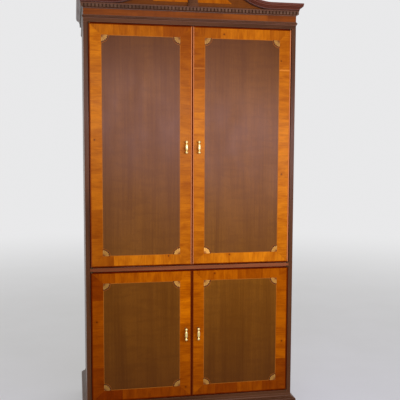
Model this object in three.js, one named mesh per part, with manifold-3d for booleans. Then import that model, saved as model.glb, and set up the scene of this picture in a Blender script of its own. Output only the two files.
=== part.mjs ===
// Television armoire in the Georgian manner: a tall case with two pairs of inset doors,
// a dentil cornice that sweeps up into a swan-neck pediment, and a moulded base on bracket feet.
// Millimetres, +Z up. The case frame has X across, Y going into the cabinet from the plane of
// its face, and Z up from the floor. The finished group is centred over its own footprint.

import * as THREE from 'three';
import { mergeVertices } from 'three/addons/utils/BufferGeometryUtils.js';
import Module from 'manifold-3d';

const wasm = await Module();
wasm.setup();

// The case
const CASE_WIDTH = 1034;
const CASE_DEPTH = 580;
const SIDE_THICK = 20.5;
const BOARD_THICK = 19;
const BACK_THICK = 6;
const BACK_REBATE = 9;

// Heights, counted up from the floor
const FOOT_HEIGHT = 84;
const BASE_RAIL_HEIGHT = 46;
const LOWER_OPENING = 647;
const UPPER_OPENING = 1162.5;
const TOP_RAIL_HEIGHT = 17;
const ASTRAGAL_HEIGHT = 16;
const FRIEZE_HEIGHT = 28;
const COVE_HEIGHT = 7;
const DENTIL_HEIGHT = 14;
const DENTIL_CAP_HEIGHT = 5;
const CROWN_HEIGHT = 33;

// Mouldings, each measured out from the face that it is planted on
const BASE_MOULD_HEIGHT = 49;
const BASE_MOULD_REACH = 22;
const ASTRAGAL_REACH = 5.5;
const ASTRAGAL_FILLET = 2;
const ASTRAGAL_EDGE = 3.5;
const DENTIL_GROUND = 5;
const DENTIL_REACH = 10.5;
const DENTIL_WIDTH = 10.5;
const DENTIL_PITCH = 17;
const DENTIL_CAP_REACH = 11.5;
const CROWN_REACH = 29.5;
const MITRE_GAP = 0.3;

// Pediment
const SWEEP_RADIUS = 255;
const SWEEP_TURN = THREE.MathUtils.degToRad(50);
const CREST_RADIUS = 90;
const CREST_OVERTURN = THREE.MathUtils.degToRad(25);
const ROSETTE_RADIUS = 28;
const ROSETTE_RIM = 9;
const ROSETTE_PETALS = 10;
const PETAL_RISE = 7;
const BOSS_RADIUS = 7;
const VALLEY_RISE = 75;
const PLINTH_WIDTH = 44;
const PLINTH_REACH = 12;
const PLINTH_FOOT_HEIGHT = 19;
const PLINTH_FOOT_LIP = 3;
const PLINTH_STAND = 24;
const PLINTH_CAP_HEIGHT = 12;
const PLINTH_CAP_LIP = 6;
const ROSETTE_TO_PLINTH = 23;
const FINIAL_HEIGHT = 92;
const FINIAL_RADIUS = 21;

// Feet
const FOOT_LENGTH = 150;
const FOOT_THICK = 20;
const FOOT_REACH = 18;
const FOOT_PAD = 62;
const FOOT_TOE = 10;
const FOOT_NECK = 18;
const FOOT_BLOCK = 40;

// Doors
const DOOR_GAP = 3;
const DOOR_SETBACK = 1.5;
const BEAD_WIDTH = 6;
const BEAD_RISE = 2;
const BEAD_FLAT = 0.8;
const BEAD_EMBED = 1;
const CATCH_WIDTH = 60;
const CATCH_DEPTH = 22;
const CATCH_DROP = 12;

// Knife hinges, let into the edges of the doors and of the boards above and below them
const HINGE_LEAF = 2.5;
const HINGE_LENGTH = 52;
const HINGE_ARM_FRONT = 6.5;
const HINGE_ARM_BACK = 16;
const KNUCKLE_RADIUS = 4;
const PIN_RADIUS = 1.8;
const PIN_CLEARANCE = 0.15;
const PIN_SHORT = 0.2;
const SHOULDER_RADIUS = 3;

// Door pulls
const PULL_INSET = 29.5;
const PULL_SPACING = 50;
const PULL_STAND = 20;
const PULL_BALL = 6.8;
const PULL_BELLY = 7.2;
const PULL_NECK = 2.7;
const PULL_ROSE = 6.5;
const PULL_ROSE_THICK = 2;

// Shelves and the openings in the back
const SHELF_SETBACK = 45;
const SHELF_PLAY = 1;
const UPPER_SHELF_RISE = 730;
const LOWER_SHELF_RISE = 310;
const PEG_WIDTH = 14;
const PEG_THICK = 4;
const PEG_LENGTH = 10;
const PEG_INSET = 60;
const CABLE_SLOT_WIDTH = 180;
const CABLE_SLOT_HEIGHT = 64;
const CABLE_SLOT_RISE = 150;
const CABLE_SLOT_OFFSET = 220;

// The gap round a piece that is let into another, and how far a cutter runs past what it cuts
const FIT = 0.3;
const OVERRUN = 5;

// Facets
const ARC_STEPS = 3;
const TURN_STEPS = 10;
const PIN_STEPS = 12;
const ROUND_STEPS = 20;
const SWEEP_STATIONS = 13;
const CREST_STATIONS = 12;

// Levels worked out from the heights
const HALF_WIDTH = CASE_WIDTH / 2;
const OPENING_HALF = HALF_WIDTH - SIDE_THICK;
const FLOOR_UNDER = FOOT_HEIGHT + BASE_RAIL_HEIGHT;
const FLOOR_TOP = FLOOR_UNDER + BOARD_THICK;
const DECK_UNDER = FLOOR_TOP + LOWER_OPENING;
const DECK_TOP = DECK_UNDER + BOARD_THICK;
const OPENING_TOP = DECK_TOP + UPPER_OPENING;
const ASTRAGAL_BOTTOM = OPENING_TOP + TOP_RAIL_HEIGHT;
const COVE_BOTTOM = ASTRAGAL_BOTTOM + ASTRAGAL_HEIGHT + FRIEZE_HEIGHT;
const BAND_HEIGHT = COVE_HEIGHT + DENTIL_HEIGHT + DENTIL_CAP_HEIGHT;
const CROWN_BOTTOM = COVE_BOTTOM + BAND_HEIGHT;
const CROWN_TOP = CROWN_BOTTOM + CROWN_HEIGHT;
const BACK_FACE = CASE_DEPTH - BACK_THICK;
const VALLEY = CROWN_BOTTOM + VALLEY_RISE;

// Places worked out for the doors
const DOOR_WIDTH = (2 * OPENING_HALF - 3 * DOOR_GAP) / 2;
const PIN_INSET = KNUCKLE_RADIUS + FIT;
const PIN_X = OPENING_HALF - DOOR_GAP - PIN_INSET;

// Places worked out for the pediment. The crown's lower edge runs level from the corner, turns
// up on the sweep, turns over on the crest and ends behind a rosette.
const CREST_MIDDLE = CREST_RADIUS + CROWN_HEIGHT / 2;
const ROSETTE_X = PLINTH_WIDTH / 2 + PLINTH_CAP_LIP + ROSETTE_TO_PLINTH + ROSETTE_RADIUS;
const CREST_X = ROSETTE_X + CREST_MIDDLE * Math.sin(CREST_OVERTURN);
const CREST_Z = CROWN_BOTTOM + SWEEP_RADIUS - (SWEEP_RADIUS + CREST_RADIUS) * Math.cos(SWEEP_TURN);
const ROSETTE_Z = CREST_Z + CREST_MIDDLE * Math.cos(CREST_OVERTURN);
const SWEEP_X = CREST_X + (SWEEP_RADIUS + CREST_RADIUS) * Math.sin(SWEEP_TURN);
const SWEEP_Z = CROWN_BOTTOM + SWEEP_RADIUS;

// Finishes
function finish(color, roughness, metalness) {
  return new THREE.MeshStandardMaterial({ color, roughness, metalness });
}

const MAHOGANY = finish(0x6b3d29, 0.35, 0);
const YEW = finish(0xb0641c, 0.3, 0);
const CARCASS = finish(0x8a5d3c, 0.6, 0);
const BACKING = finish(0x6a4a33, 0.8, 0);
const BRASS = finish(0xd9ae62, 0.25, 1);
const BRONZE = finish(0x5a4024, 0.45, 1);

// Joining and cutting

// A closed solid from a geometry. Where a turned outline meets its axis, the slivers there have
// two corners in one place once the vertices are merged, and they are left out.
function solidOf(geometry) {
  const bare = geometry.clone();
  bare.deleteAttribute('normal');
  bare.deleteAttribute('uv');
  const merged = mergeVertices(bare);
  const corners = merged.index.array;
  const kept = [];
  for (let i = 0; i < corners.length; i += 3) {
    const [a, b, c] = corners.slice(i, i + 3);
    if (a !== b && b !== c && c !== a) {
      kept.push(a, b, c);
    }
  }
  const vertProperties = new Float32Array(merged.attributes.position.array);
  const triVerts = new Uint32Array(kept);
  return new wasm.Manifold(new wasm.Mesh({ numProp: 3, vertProperties, triVerts }));
}

function geometryOf(solid) {
  const mesh = solid.getMesh();
  const geometry = new THREE.BufferGeometry();
  geometry.setAttribute('position', new THREE.BufferAttribute(new Float32Array(mesh.vertProperties), 3));
  geometry.setIndex(new THREE.BufferAttribute(new Uint32Array(mesh.triVerts), 1));
  geometry.computeVertexNormals();
  return geometry;
}

function join(first, ...others) {
  return geometryOf(others.reduce((whole, next) => whole.add(solidOf(next)), solidOf(first)));
}

function cut(body, ...tools) {
  return geometryOf(tools.reduce((rest, tool) => rest.subtract(solidOf(tool)), solidOf(body)));
}

// Shared forms

// A square block between two corners, given as ranges along X, Y and Z in either order.
function block(xs, ys, zs) {
  const spans = [xs, ys, zs].map(([a, b]) => Math.abs(b - a));
  const middles = [xs, ys, zs].map(([a, b]) => (a + b) / 2);
  return new THREE.BoxGeometry(...spans).translate(...middles);
}

function polygon(points) {
  return new THREE.Shape(points.map(([x, y]) => new THREE.Vector2(x, y)));
}

// A prism that rises along Z from a level, on an outline drawn in X and Y.
function prism(outline, level, height) {
  const options = { depth: height, bevelEnabled: false, curveSegments: ARC_STEPS };
  return new THREE.ExtrudeGeometry(outline, options).translate(0, 0, level);
}

// A board on an outline drawn in X and Z, from one depth to a greater one.
function upright(outline, front, back) {
  const options = { depth: back - front, bevelEnabled: false, curveSegments: ARC_STEPS };
  const turned = new THREE.ExtrudeGeometry(outline, options);
  const basis = new THREE.Matrix4().makeBasis(
    new THREE.Vector3(1, 0, 0),
    new THREE.Vector3(0, 0, 1),
    new THREE.Vector3(0, -1, 0),
  );
  return turned.applyMatrix4(basis).translate(0, back, 0);
}

const UP = new THREE.Vector3(0, 0, 1);
const FRONT = { out: new THREE.Vector3(0, -1, 0), side: 0 };
const RIGHT = { out: new THREE.Vector3(1, 0, 0), side: 1 };
const LEFT = { out: new THREE.Vector3(-1, 0, 0), side: -1 };

// Where a run on a wall starts and how long it is before its mitres are cut. A front run goes
// from right to left, a right run from back to front, and a left run from front to back.
function runOf(wall, reach) {
  if (wall === FRONT) {
    return { start: [HALF_WIDTH + reach, 0, 0], length: CASE_WIDTH + 2 * reach };
  }
  const start = wall === RIGHT ? [HALF_WIDTH, CASE_DEPTH, 0] : [-HALF_WIDTH, -reach, 0];
  return { start, length: CASE_DEPTH + reach };
}

// The waste beyond the mitre at a corner: the front run loses what lies outside the plane at
// 45 degrees, and the side run loses what lies inside it.
function mitreWaste(side, ofFront) {
  const size = 2 * CASE_DEPTH;
  const away = ofFront ? 1 : -1;
  const offset = (away * (size - MITRE_GAP)) / 2;
  const step = offset * Math.SQRT1_2;
  const waste = new THREE.BoxGeometry(size, size, 2 * CROWN_TOP);
  waste.rotateZ(Math.PI / 4);
  return waste.translate(side * (HALF_WIDTH + step), step, CROWN_TOP);
}

function mitred(run, wall) {
  if (wall === FRONT) {
    return cut(run, mitreWaste(1, true), mitreWaste(-1, true));
  }
  return cut(run, mitreWaste(wall.side, false));
}

// A straight moulding on a wall. Its section is drawn with X out from the wall and Y up.
function straightRun(section, wall, level, reach) {
  const { start, length } = runOf(wall, reach);
  const along = new THREE.Vector3().crossVectors(wall.out, UP);
  const options = { depth: length, bevelEnabled: false, curveSegments: ARC_STEPS };
  const run = new THREE.ExtrudeGeometry(section, options);
  run.applyMatrix4(new THREE.Matrix4().makeBasis(wall.out, UP, along));
  return run.translate(start[0], start[1], level);
}

function moulding(section, wall, level, reach) {
  return mitred(straightRun(section, wall, level, reach), wall);
}

// Sections of the mouldings

function baseSection() {
  const coveFootShare = 0.66;
  const filletFootShare = 0.61;
  const ovoloFootShare = 0.38;
  const filletReachShare = 0.57;
  const section = new THREE.Shape();
  section.moveTo(0, 0);
  section.lineTo(BASE_MOULD_REACH, 0);
  section.lineTo(BASE_MOULD_REACH, BASE_MOULD_HEIGHT * ovoloFootShare);
  section.quadraticCurveTo(
    BASE_MOULD_REACH,
    BASE_MOULD_HEIGHT * filletFootShare,
    BASE_MOULD_REACH * filletReachShare,
    BASE_MOULD_HEIGHT * filletFootShare,
  );
  section.lineTo(BASE_MOULD_REACH * filletReachShare, BASE_MOULD_HEIGHT * coveFootShare);
  section.quadraticCurveTo(0, BASE_MOULD_HEIGHT * coveFootShare, 0, BASE_MOULD_HEIGHT);
  return section;
}

function astragalSection() {
  const bead = ASTRAGAL_HEIGHT / 2 - ASTRAGAL_EDGE;
  const section = new THREE.Shape();
  section.moveTo(0, 0);
  section.lineTo(ASTRAGAL_FILLET, 0);
  section.lineTo(ASTRAGAL_FILLET, ASTRAGAL_EDGE);
  section.absarc(ASTRAGAL_REACH - bead, ASTRAGAL_HEIGHT / 2, bead, -Math.PI / 2, Math.PI / 2, false);
  section.lineTo(ASTRAGAL_FILLET, ASTRAGAL_HEIGHT - ASTRAGAL_EDGE);
  section.lineTo(ASTRAGAL_FILLET, ASTRAGAL_HEIGHT);
  section.lineTo(0, ASTRAGAL_HEIGHT);
  return section;
}

// The cove, the ground behind the dentils and the cap over them.
function bandSection() {
  const section = new THREE.Shape();
  section.moveTo(0, 0);
  section.quadraticCurveTo(0, COVE_HEIGHT, DENTIL_GROUND, COVE_HEIGHT);
  section.lineTo(DENTIL_GROUND, COVE_HEIGHT + DENTIL_HEIGHT);
  section.lineTo(DENTIL_CAP_REACH, COVE_HEIGHT + DENTIL_HEIGHT);
  section.lineTo(DENTIL_CAP_REACH, BAND_HEIGHT);
  section.lineTo(0, BAND_HEIGHT);
  return section;
}

// The crown: a fillet, a cove, a fillet, an ovolo and a square top. Its points are pairs of
// reach and rise, and the curves between them bend towards the corner that is named.
function crownSection(place) {
  const coveStartShare = [0.45, 0.07];
  const coveCornerShare = [0.48, 0.33];
  const coveEndShare = [0.7, 0.36];
  const ovoloStartShare = [0.74, 0.42];
  const ovoloCornerShare = [0.99, 0.5];
  const ovoloEndShare = [0.95, 0.76];
  const footShare = 0.41;
  const at = ([reachShare, riseShare]) => place(CROWN_REACH * reachShare, CROWN_HEIGHT * riseShare);
  const section = new THREE.Shape();
  section.moveTo(...at([0, 0]));
  section.lineTo(...at([footShare, 0]));
  section.lineTo(...at([footShare, coveStartShare[1]]));
  section.lineTo(...at(coveStartShare));
  section.quadraticCurveTo(...at(coveCornerShare), ...at(coveEndShare));
  section.lineTo(...at([ovoloStartShare[0], coveEndShare[1]]));
  section.lineTo(...at(ovoloStartShare));
  section.quadraticCurveTo(...at(ovoloCornerShare), ...at(ovoloEndShare));
  section.lineTo(...at([1, ovoloEndShare[1]]));
  section.lineTo(...at([1, 1]));
  section.lineTo(...at([0, 1]));
  return section;
}

// Case boards

// A side: notched in front for the frieze board and the pediment board, rebated behind for
// the back panels, with four metal shelf supports standing out of its inner face.
function sidePanel(side) {
  const outer = side * HALF_WIDTH;
  const inner = side * OPENING_HALF;
  const past = side * (HALF_WIDTH + OVERRUN);
  const board = block([inner, outer], [0, CASE_DEPTH], [FOOT_HEIGHT, CROWN_TOP]);
  const notch = block(
    [inner - side * OVERRUN, past],
    [-OVERRUN, BOARD_THICK],
    [OPENING_TOP, CROWN_TOP + OVERRUN],
  );
  const rebate = block(
    [inner - side * OVERRUN, inner + side * BACK_REBATE],
    [BACK_FACE, CASE_DEPTH + OVERRUN],
    [FLOOR_UNDER, CROWN_TOP + OVERRUN],
  );
  const pegs = [];
  for (const level of [shelfUnder(FLOOR_TOP, LOWER_SHELF_RISE), shelfUnder(DECK_TOP, UPPER_SHELF_RISE)]) {
    for (const middle of [SHELF_SETBACK + PEG_INSET, BACK_FACE - PEG_INSET]) {
      pegs.push(block(
        [inner + side * PEG_THICK, inner - side * PEG_LENGTH],
        [middle - PEG_WIDTH / 2, middle + PEG_WIDTH / 2],
        [level - PEG_THICK, level],
      ));
    }
  }
  return join(cut(board, notch, rebate), ...pegs);
}

function shelfUnder(bayFloor, rise) {
  return bayFloor + rise;
}

function shelf(under) {
  const half = OPENING_HALF - SHELF_PLAY;
  return block([-half, half], [SHELF_SETBACK, BACK_FACE - FIT], [under, under + BOARD_THICK]);
}

function bottomRail() {
  return block([-OPENING_HALF, OPENING_HALF], [0, BOARD_THICK], [FOOT_HEIGHT, FLOOR_UNDER]);
}

function roofPanel() {
  const level = [OPENING_TOP, OPENING_TOP + BOARD_THICK];
  return block([-OPENING_HALF, OPENING_HALF], [BOARD_THICK, BACK_FACE], level);
}

// A board that the doors hang on, with the beds of its hinges cut into one or both faces.
function hangingBoard(board, bedsAbove, bedsBelow) {
  const beds = [];
  for (const side of [-1, 1]) {
    const place = new THREE.Matrix4().makeTranslation(side * PIN_X, DOOR_SETBACK, 0);
    for (const level of bedsAbove) {
      beds.push(prism(hingeBed(side, KNUCKLE_RADIUS + FIT), level - HINGE_LEAF, HINGE_LEAF + OVERRUN)
        .applyMatrix4(place));
    }
    for (const level of bedsBelow) {
      beds.push(prism(hingeBed(side, KNUCKLE_RADIUS + FIT), level - OVERRUN, HINGE_LEAF + OVERRUN)
        .applyMatrix4(place));
    }
  }
  return cut(board, ...beds);
}

function floorPanel() {
  const board = block([-OPENING_HALF, OPENING_HALF], [0, BACK_FACE], [FLOOR_UNDER, FLOOR_TOP]);
  return hangingBoard(board, [FLOOR_TOP], []);
}

function midDeck() {
  const board = block([-OPENING_HALF, OPENING_HALF], [0, BACK_FACE], [DECK_UNDER, DECK_TOP]);
  return hangingBoard(board, [DECK_TOP], [DECK_UNDER]);
}

function friezeBoard() {
  const board = block([-HALF_WIDTH, HALF_WIDTH], [0, BOARD_THICK], [OPENING_TOP, CROWN_BOTTOM]);
  return hangingBoard(board, [], [OPENING_TOP]);
}

// A back panel with one round-ended slot for leads and warm air. The slot lies to the left, where the
// gap between the doors doesn't line up with it.
function backPanel(bottom, top, slotMiddle) {
  const half = OPENING_HALF + BACK_REBATE - FIT;
  const radius = CABLE_SLOT_HEIGHT / 2;
  const reach = CABLE_SLOT_WIDTH / 2 - radius;
  const outline = polygon([[-half, bottom], [half, bottom], [half, top], [-half, top]]);
  const slot = new THREE.Path();
  slot.absarc(reach - CABLE_SLOT_OFFSET, slotMiddle, radius, -Math.PI / 2, Math.PI / 2, false);
  slot.absarc(-reach - CABLE_SLOT_OFFSET, slotMiddle, radius, Math.PI / 2, (3 * Math.PI) / 2, false);
  outline.holes.push(slot);
  return upright(outline, BACK_FACE, CASE_DEPTH);
}

// A block that both doors of a pair close against, under the board above them.
function doorStop(ceiling) {
  const behind = DOOR_SETBACK + BOARD_THICK + FIT;
  const half = CATCH_WIDTH / 2;
  return block([-half, half], [behind, behind + CATCH_DEPTH], [ceiling - CATCH_DROP, ceiling]);
}

// The dentils

// The outline of the row, with X along the run and Y out from the wall. The blocks are spaced
// evenly so that the first stands on the front corner; a front run also ends on a corner.
function dentilComb(length) {
  const spaces = Math.max(1, Math.round((length - DENTIL_WIDTH) / DENTIL_PITCH));
  const pitch = (length - DENTIL_WIDTH) / spaces;
  const points = [[0, 0]];
  for (let i = 0; i <= spaces; i += 1) {
    const start = i * pitch;
    const ground = i === 0 ? [] : [[start, DENTIL_GROUND]];
    points.push(...ground, [start, DENTIL_REACH], [start + DENTIL_WIDTH, DENTIL_REACH]);
    if (i < spaces) {
      points.push([start + DENTIL_WIDTH, DENTIL_GROUND]);
    }
  }
  points.push([length, 0]);
  return polygon(points);
}

function dentilBand(wall) {
  const level = COVE_BOTTOM + COVE_HEIGHT;
  const { start, length } = runOf(wall, DENTIL_REACH);
  const along = new THREE.Vector3().crossVectors(wall.out, UP);
  const comb = prism(dentilComb(length), 0, DENTIL_HEIGHT);
  comb.applyMatrix4(new THREE.Matrix4().makeBasis(along, wall.out, UP));
  comb.translate(start[0], start[1], level);
  const band = straightRun(bandSection(), wall, COVE_BOTTOM, DENTIL_CAP_REACH);
  return mitred(join(band, comb), wall);
}

// The swan neck

// The line of the crown's lower edge on one side, from past the corner to the rosette. It is
// read at stations: the level run takes one, the sweep and the crest share the others.
class NeckLine extends THREE.Curve {
  constructor(side) {
    super();
    this.side = side;
    this.stations = 1 + SWEEP_STATIONS + CREST_STATIONS;
  }

  // The point on the face plane, and the angle by which the line has turned up there.
  reading(share) {
    const station = share * this.stations;
    if (station <= 1) {
      const start = HALF_WIDTH + CROWN_REACH + OVERRUN;
      return { x: start + (SWEEP_X - start) * station, z: CROWN_BOTTOM, turn: 0 };
    }
    if (station <= 1 + SWEEP_STATIONS) {
      const turn = (SWEEP_TURN * (station - 1)) / SWEEP_STATIONS;
      const x = SWEEP_X - SWEEP_RADIUS * Math.sin(turn);
      return { x, z: SWEEP_Z - SWEEP_RADIUS * Math.cos(turn), turn };
    }
    const left = (station - 1 - SWEEP_STATIONS) / CREST_STATIONS;
    const turn = SWEEP_TURN - (SWEEP_TURN + CREST_OVERTURN) * left;
    const x = CREST_X + CREST_RADIUS * Math.sin(turn);
    return { x, z: CREST_Z + CREST_RADIUS * Math.cos(turn), turn };
  }

  getPointAt(share, target = new THREE.Vector3()) {
    const { x, z } = this.reading(share);
    return target.set(this.side * x, 0, z);
  }

  getTangentAt(share, target = new THREE.Vector3()) {
    const { turn } = this.reading(share);
    return target.set(-this.side * Math.cos(turn), 0, Math.sin(turn));
  }
}

// The crown carried along the neck line, mitred at the corner and cut away round the rosette.
function swanNeck(side) {
  const line = new NeckLine(side);
  const section = crownSection((reach, rise) => [-rise, side * reach]);
  const options = { steps: line.stations, extrudePath: line, curveSegments: ARC_STEPS };
  const neck = new THREE.ExtrudeGeometry(section, options);
  const seatRadius = ROSETTE_RADIUS + FIT;
  const seat = new THREE.CylinderGeometry(seatRadius, seatRadius, 2 * CROWN_REACH + OVERRUN, ROUND_STEPS);
  seat.translate(side * ROSETTE_X, 0, ROSETTE_Z);
  return cut(neck, mitreWaste(side, true), seat);
}

// Half of the pediment board's upper edge, from the corner to the middle: level, up the sweep,
// over the crest, round behind the rosette and down into the valley.
function pedimentEdge() {
  const edge = [[HALF_WIDTH, CROWN_TOP], [SWEEP_X, CROWN_TOP]];
  for (let i = 1; i <= SWEEP_STATIONS; i += 1) {
    const turn = (SWEEP_TURN * i) / SWEEP_STATIONS;
    const radius = SWEEP_RADIUS - CROWN_HEIGHT;
    edge.push([SWEEP_X - radius * Math.sin(turn), SWEEP_Z - radius * Math.cos(turn)]);
  }
  for (let i = 1; i <= CREST_STATIONS; i += 1) {
    const turn = SWEEP_TURN - ((SWEEP_TURN + CREST_OVERTURN) * i) / CREST_STATIONS;
    const radius = CREST_RADIUS + CROWN_HEIGHT;
    edge.push([CREST_X + radius * Math.sin(turn), CREST_Z + radius * Math.cos(turn)]);
  }
  const nose = CROWN_HEIGHT / 2;
  for (let i = 1; i <= ARC_STEPS; i += 1) {
    const turn = Math.PI / 2 + CREST_OVERTURN + ((Math.PI / 2 - CREST_OVERTURN) * i) / ARC_STEPS;
    edge.push([ROSETTE_X + nose * Math.cos(turn), ROSETTE_Z + nose * Math.sin(turn)]);
  }
  edge.push([ROSETTE_X - nose, VALLEY]);
  return edge;
}

function pedimentBoard() {
  const right = pedimentEdge();
  const left = right.map(([x, z]) => [-x, z]).reverse();
  const foot = [[-HALF_WIDTH, CROWN_BOTTOM], [HALF_WIDTH, CROWN_BOTTOM]];
  return upright(polygon([...foot, ...right, ...left]), 0, BOARD_THICK);
}

// A rosette: a turned disc, a ring of petals and a round boss, all facing the room.
function rosette() {
  const petalShare = 0.84;
  const notchShare = 0.68;
  const dishShare = 0.58;
  const rimShare = 0.9;
  const disc = new THREE.LatheGeometry([
    new THREE.Vector2(0, 0),
    new THREE.Vector2(ROSETTE_RADIUS, 0),
    new THREE.Vector2(ROSETTE_RADIUS, ROSETTE_RIM * rimShare),
    new THREE.Vector2(ROSETTE_RADIUS * rimShare, ROSETTE_RIM),
    new THREE.Vector2(0, ROSETTE_RIM),
  ], ROUND_STEPS);
  const outline = [];
  const sides = 4 * ROSETTE_PETALS;
  for (let i = 0; i < sides; i += 1) {
    const angle = (2 * Math.PI * i) / sides;
    const swell = Math.abs(Math.sin((ROSETTE_PETALS * angle) / 2));
    const radius = ROSETTE_RADIUS * (notchShare + (petalShare - notchShare) * swell);
    outline.push([radius * Math.cos(angle), radius * Math.sin(angle)]);
  }
  const petals = prism(polygon(outline), 0, ROSETTE_RIM + PETAL_RISE).rotateX(-Math.PI / 2);
  const dish = new THREE.SphereGeometry(ROSETTE_RADIUS, ROUND_STEPS, TURN_STEPS);
  dish.scale(dishShare, PETAL_RISE / ROSETTE_RADIUS, dishShare);
  dish.translate(0, ROSETTE_RIM + PETAL_RISE, 0);
  const boss = new THREE.SphereGeometry(BOSS_RADIUS, TURN_STEPS, TURN_STEPS);
  boss.translate(0, ROSETTE_RIM + PETAL_RISE - BOSS_RADIUS / 2, 0);
  return join(disc, cut(petals, dish), boss);
}

// The plinth between the rosettes: a moulded foot, a die that passes in front of the pediment
// board and stands on its valley, and a cap.
function plinth() {
  const half = PLINTH_WIDTH / 2;
  const lip = half + PLINTH_FOOT_LIP;
  const cap = half + PLINTH_CAP_LIP;
  const dieTop = VALLEY + PLINTH_STAND;
  const foot = block([-lip, lip], [-PLINTH_REACH - PLINTH_FOOT_LIP, 0], [
    CROWN_BOTTOM,
    CROWN_BOTTOM + PLINTH_FOOT_HEIGHT,
  ]);
  const die = block([-half, half], [-PLINTH_REACH, 0], [CROWN_BOTTOM, dieTop]);
  const stem = block([-half, half], [-PLINTH_REACH, BOARD_THICK], [VALLEY, dieTop]);
  const capFoot = block([-lip, lip], [
    -PLINTH_REACH - PLINTH_FOOT_LIP,
    BOARD_THICK + PLINTH_FOOT_LIP,
  ], [dieTop - PLINTH_FOOT_LIP, dieTop + PLINTH_CAP_HEIGHT / 2]);
  const capTop = block([-cap, cap], [-PLINTH_REACH - PLINTH_CAP_LIP, BOARD_THICK + PLINTH_CAP_LIP], [
    dieTop + PLINTH_CAP_HEIGHT / 3,
    dieTop + PLINTH_CAP_HEIGHT,
  ]);
  return join(foot, die, stem, capFoot, capTop);
}

// A turned urn with a pointed lid. Each pair is a radius and a height, as shares of the whole.
function finial() {
  const outlineShares = [
    [0, 0], [0.62, 0], [0.62, 0.05], [0.42, 0.08], [0.24, 0.14], [0.22, 0.18], [0.4, 0.21],
    [0.72, 0.3], [0.94, 0.42], [1, 0.52], [0.98, 0.58], [0.8, 0.61], [0.56, 0.64], [0.5, 0.7],
    [0.4, 0.78], [0.22, 0.86], [0.16, 0.9], [0.2, 0.94], [0.12, 0.985], [0, 1],
  ];
  const outline = outlineShares.map(([radiusShare, heightShare]) => (
    new THREE.Vector2(FINIAL_RADIUS * radiusShare, FINIAL_HEIGHT * heightShare)
  ));
  return new THREE.LatheGeometry(outline, ROUND_STEPS).rotateX(Math.PI / 2);
}

// Feet

// One wing of a bracket foot, with X along the wall from the corner and Y up.
function wingOutline() {
  const rise = FOOT_HEIGHT - FOOT_NECK - FOOT_TOE;
  const run = FOOT_LENGTH - FOOT_PAD;
  const cuspShare = 0.78;
  const bellyShare = 0.55;
  const crest = FOOT_PAD + run * cuspShare;
  const wing = new THREE.Shape();
  wing.moveTo(0, 0);
  wing.lineTo(FOOT_PAD, 0);
  wing.lineTo(FOOT_PAD, FOOT_TOE);
  wing.bezierCurveTo(
    FOOT_PAD + run * bellyShare,
    FOOT_TOE,
    FOOT_PAD + (run * bellyShare) / 2,
    FOOT_TOE + rise,
    crest,
    FOOT_TOE + rise,
  );
  wing.lineTo(crest, FOOT_HEIGHT - FOOT_NECK);
  wing.lineTo(FOOT_LENGTH, FOOT_HEIGHT - FOOT_NECK);
  wing.lineTo(FOOT_LENGTH, FOOT_HEIGHT);
  wing.lineTo(0, FOOT_HEIGHT);
  return wing;
}

// A bracket foot at a front or rear corner. A front foot has a wing on the front and one on the
// side; a rear foot has the side wing only, and both have a square block inside the corner.
function bracketFoot(side, atFront) {
  const corner = side * (HALF_WIDTH + FOOT_REACH);
  const inside = corner - side * FOOT_THICK;
  const away = atFront ? 1 : -1;
  const edge = atFront ? -FOOT_REACH : CASE_DEPTH;
  const wallBehind = atFront ? FOOT_THICK : 0;
  const sideWing = new THREE.ExtrudeGeometry(wingOutline(), {
    depth: FOOT_THICK,
    bevelEnabled: false,
    curveSegments: 2 * ARC_STEPS,
  });
  const along = new THREE.Vector3(0, away, 0);
  const across = new THREE.Vector3().crossVectors(along, UP);
  sideWing.applyMatrix4(new THREE.Matrix4().makeBasis(along, UP, across));
  sideWing.translate(across.x > 0 ? Math.min(corner, inside) : Math.max(corner, inside), edge, 0);
  const cornerBlock = block(
    [corner - (side * FOOT_THICK) / 2, inside - side * FOOT_BLOCK],
    [edge + (away * wallBehind) / 2, edge + away * (wallBehind + FOOT_BLOCK)],
    [0, FOOT_HEIGHT],
  );
  if (!atFront) {
    return join(sideWing, cornerBlock);
  }
  const frontWing = new THREE.ExtrudeGeometry(wingOutline(), {
    depth: FOOT_THICK,
    bevelEnabled: false,
    curveSegments: 2 * ARC_STEPS,
  });
  const inward = new THREE.Vector3(-side, 0, 0);
  const through = new THREE.Vector3().crossVectors(inward, UP);
  frontWing.applyMatrix4(new THREE.Matrix4().makeBasis(inward, UP, through));
  frontWing.translate(corner, through.y > 0 ? edge : edge + FOOT_THICK, 0);
  return join(sideWing, frontWing, cornerBlock);
}

// Hinges, drawn round the pin: +X is towards the case side on the right-hand doors

function hingeOutline(side) {
  const outline = new THREE.Shape();
  outline.moveTo(side * KNUCKLE_RADIUS, 0);
  const from = side > 0 ? 0 : Math.PI;
  outline.absarc(0, 0, KNUCKLE_RADIUS, from, from + Math.PI * -side, side > 0);
  outline.lineTo(-side * KNUCKLE_RADIUS, HINGE_ARM_FRONT);
  outline.lineTo(-side * HINGE_LENGTH, HINGE_ARM_FRONT);
  outline.lineTo(-side * HINGE_LENGTH, HINGE_ARM_BACK);
  outline.lineTo(side * KNUCKLE_RADIUS, HINGE_ARM_BACK);
  return outline;
}

// The bed of a hinge leaf, open to the front. Its outer side lies a given way from the pin.
function hingeBed(side, outer) {
  const front = -KNUCKLE_RADIUS - OVERRUN;
  const back = HINGE_ARM_BACK + FIT;
  const arm = HINGE_ARM_FRONT - FIT;
  const tip = -side * (HINGE_LENGTH + FIT);
  const neck = -side * (KNUCKLE_RADIUS + FIT);
  return polygon([
    [side * outer, front], [side * outer, back], [tip, back], [tip, arm], [neck, arm], [neck, front],
  ]);
}

function turned(radius, low, high) {
  const rod = new THREE.CylinderGeometry(radius, radius, high - low, PIN_STEPS);
  return rod.rotateX(Math.PI / 2).translate(0, 0, (low + high) / 2);
}

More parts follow.
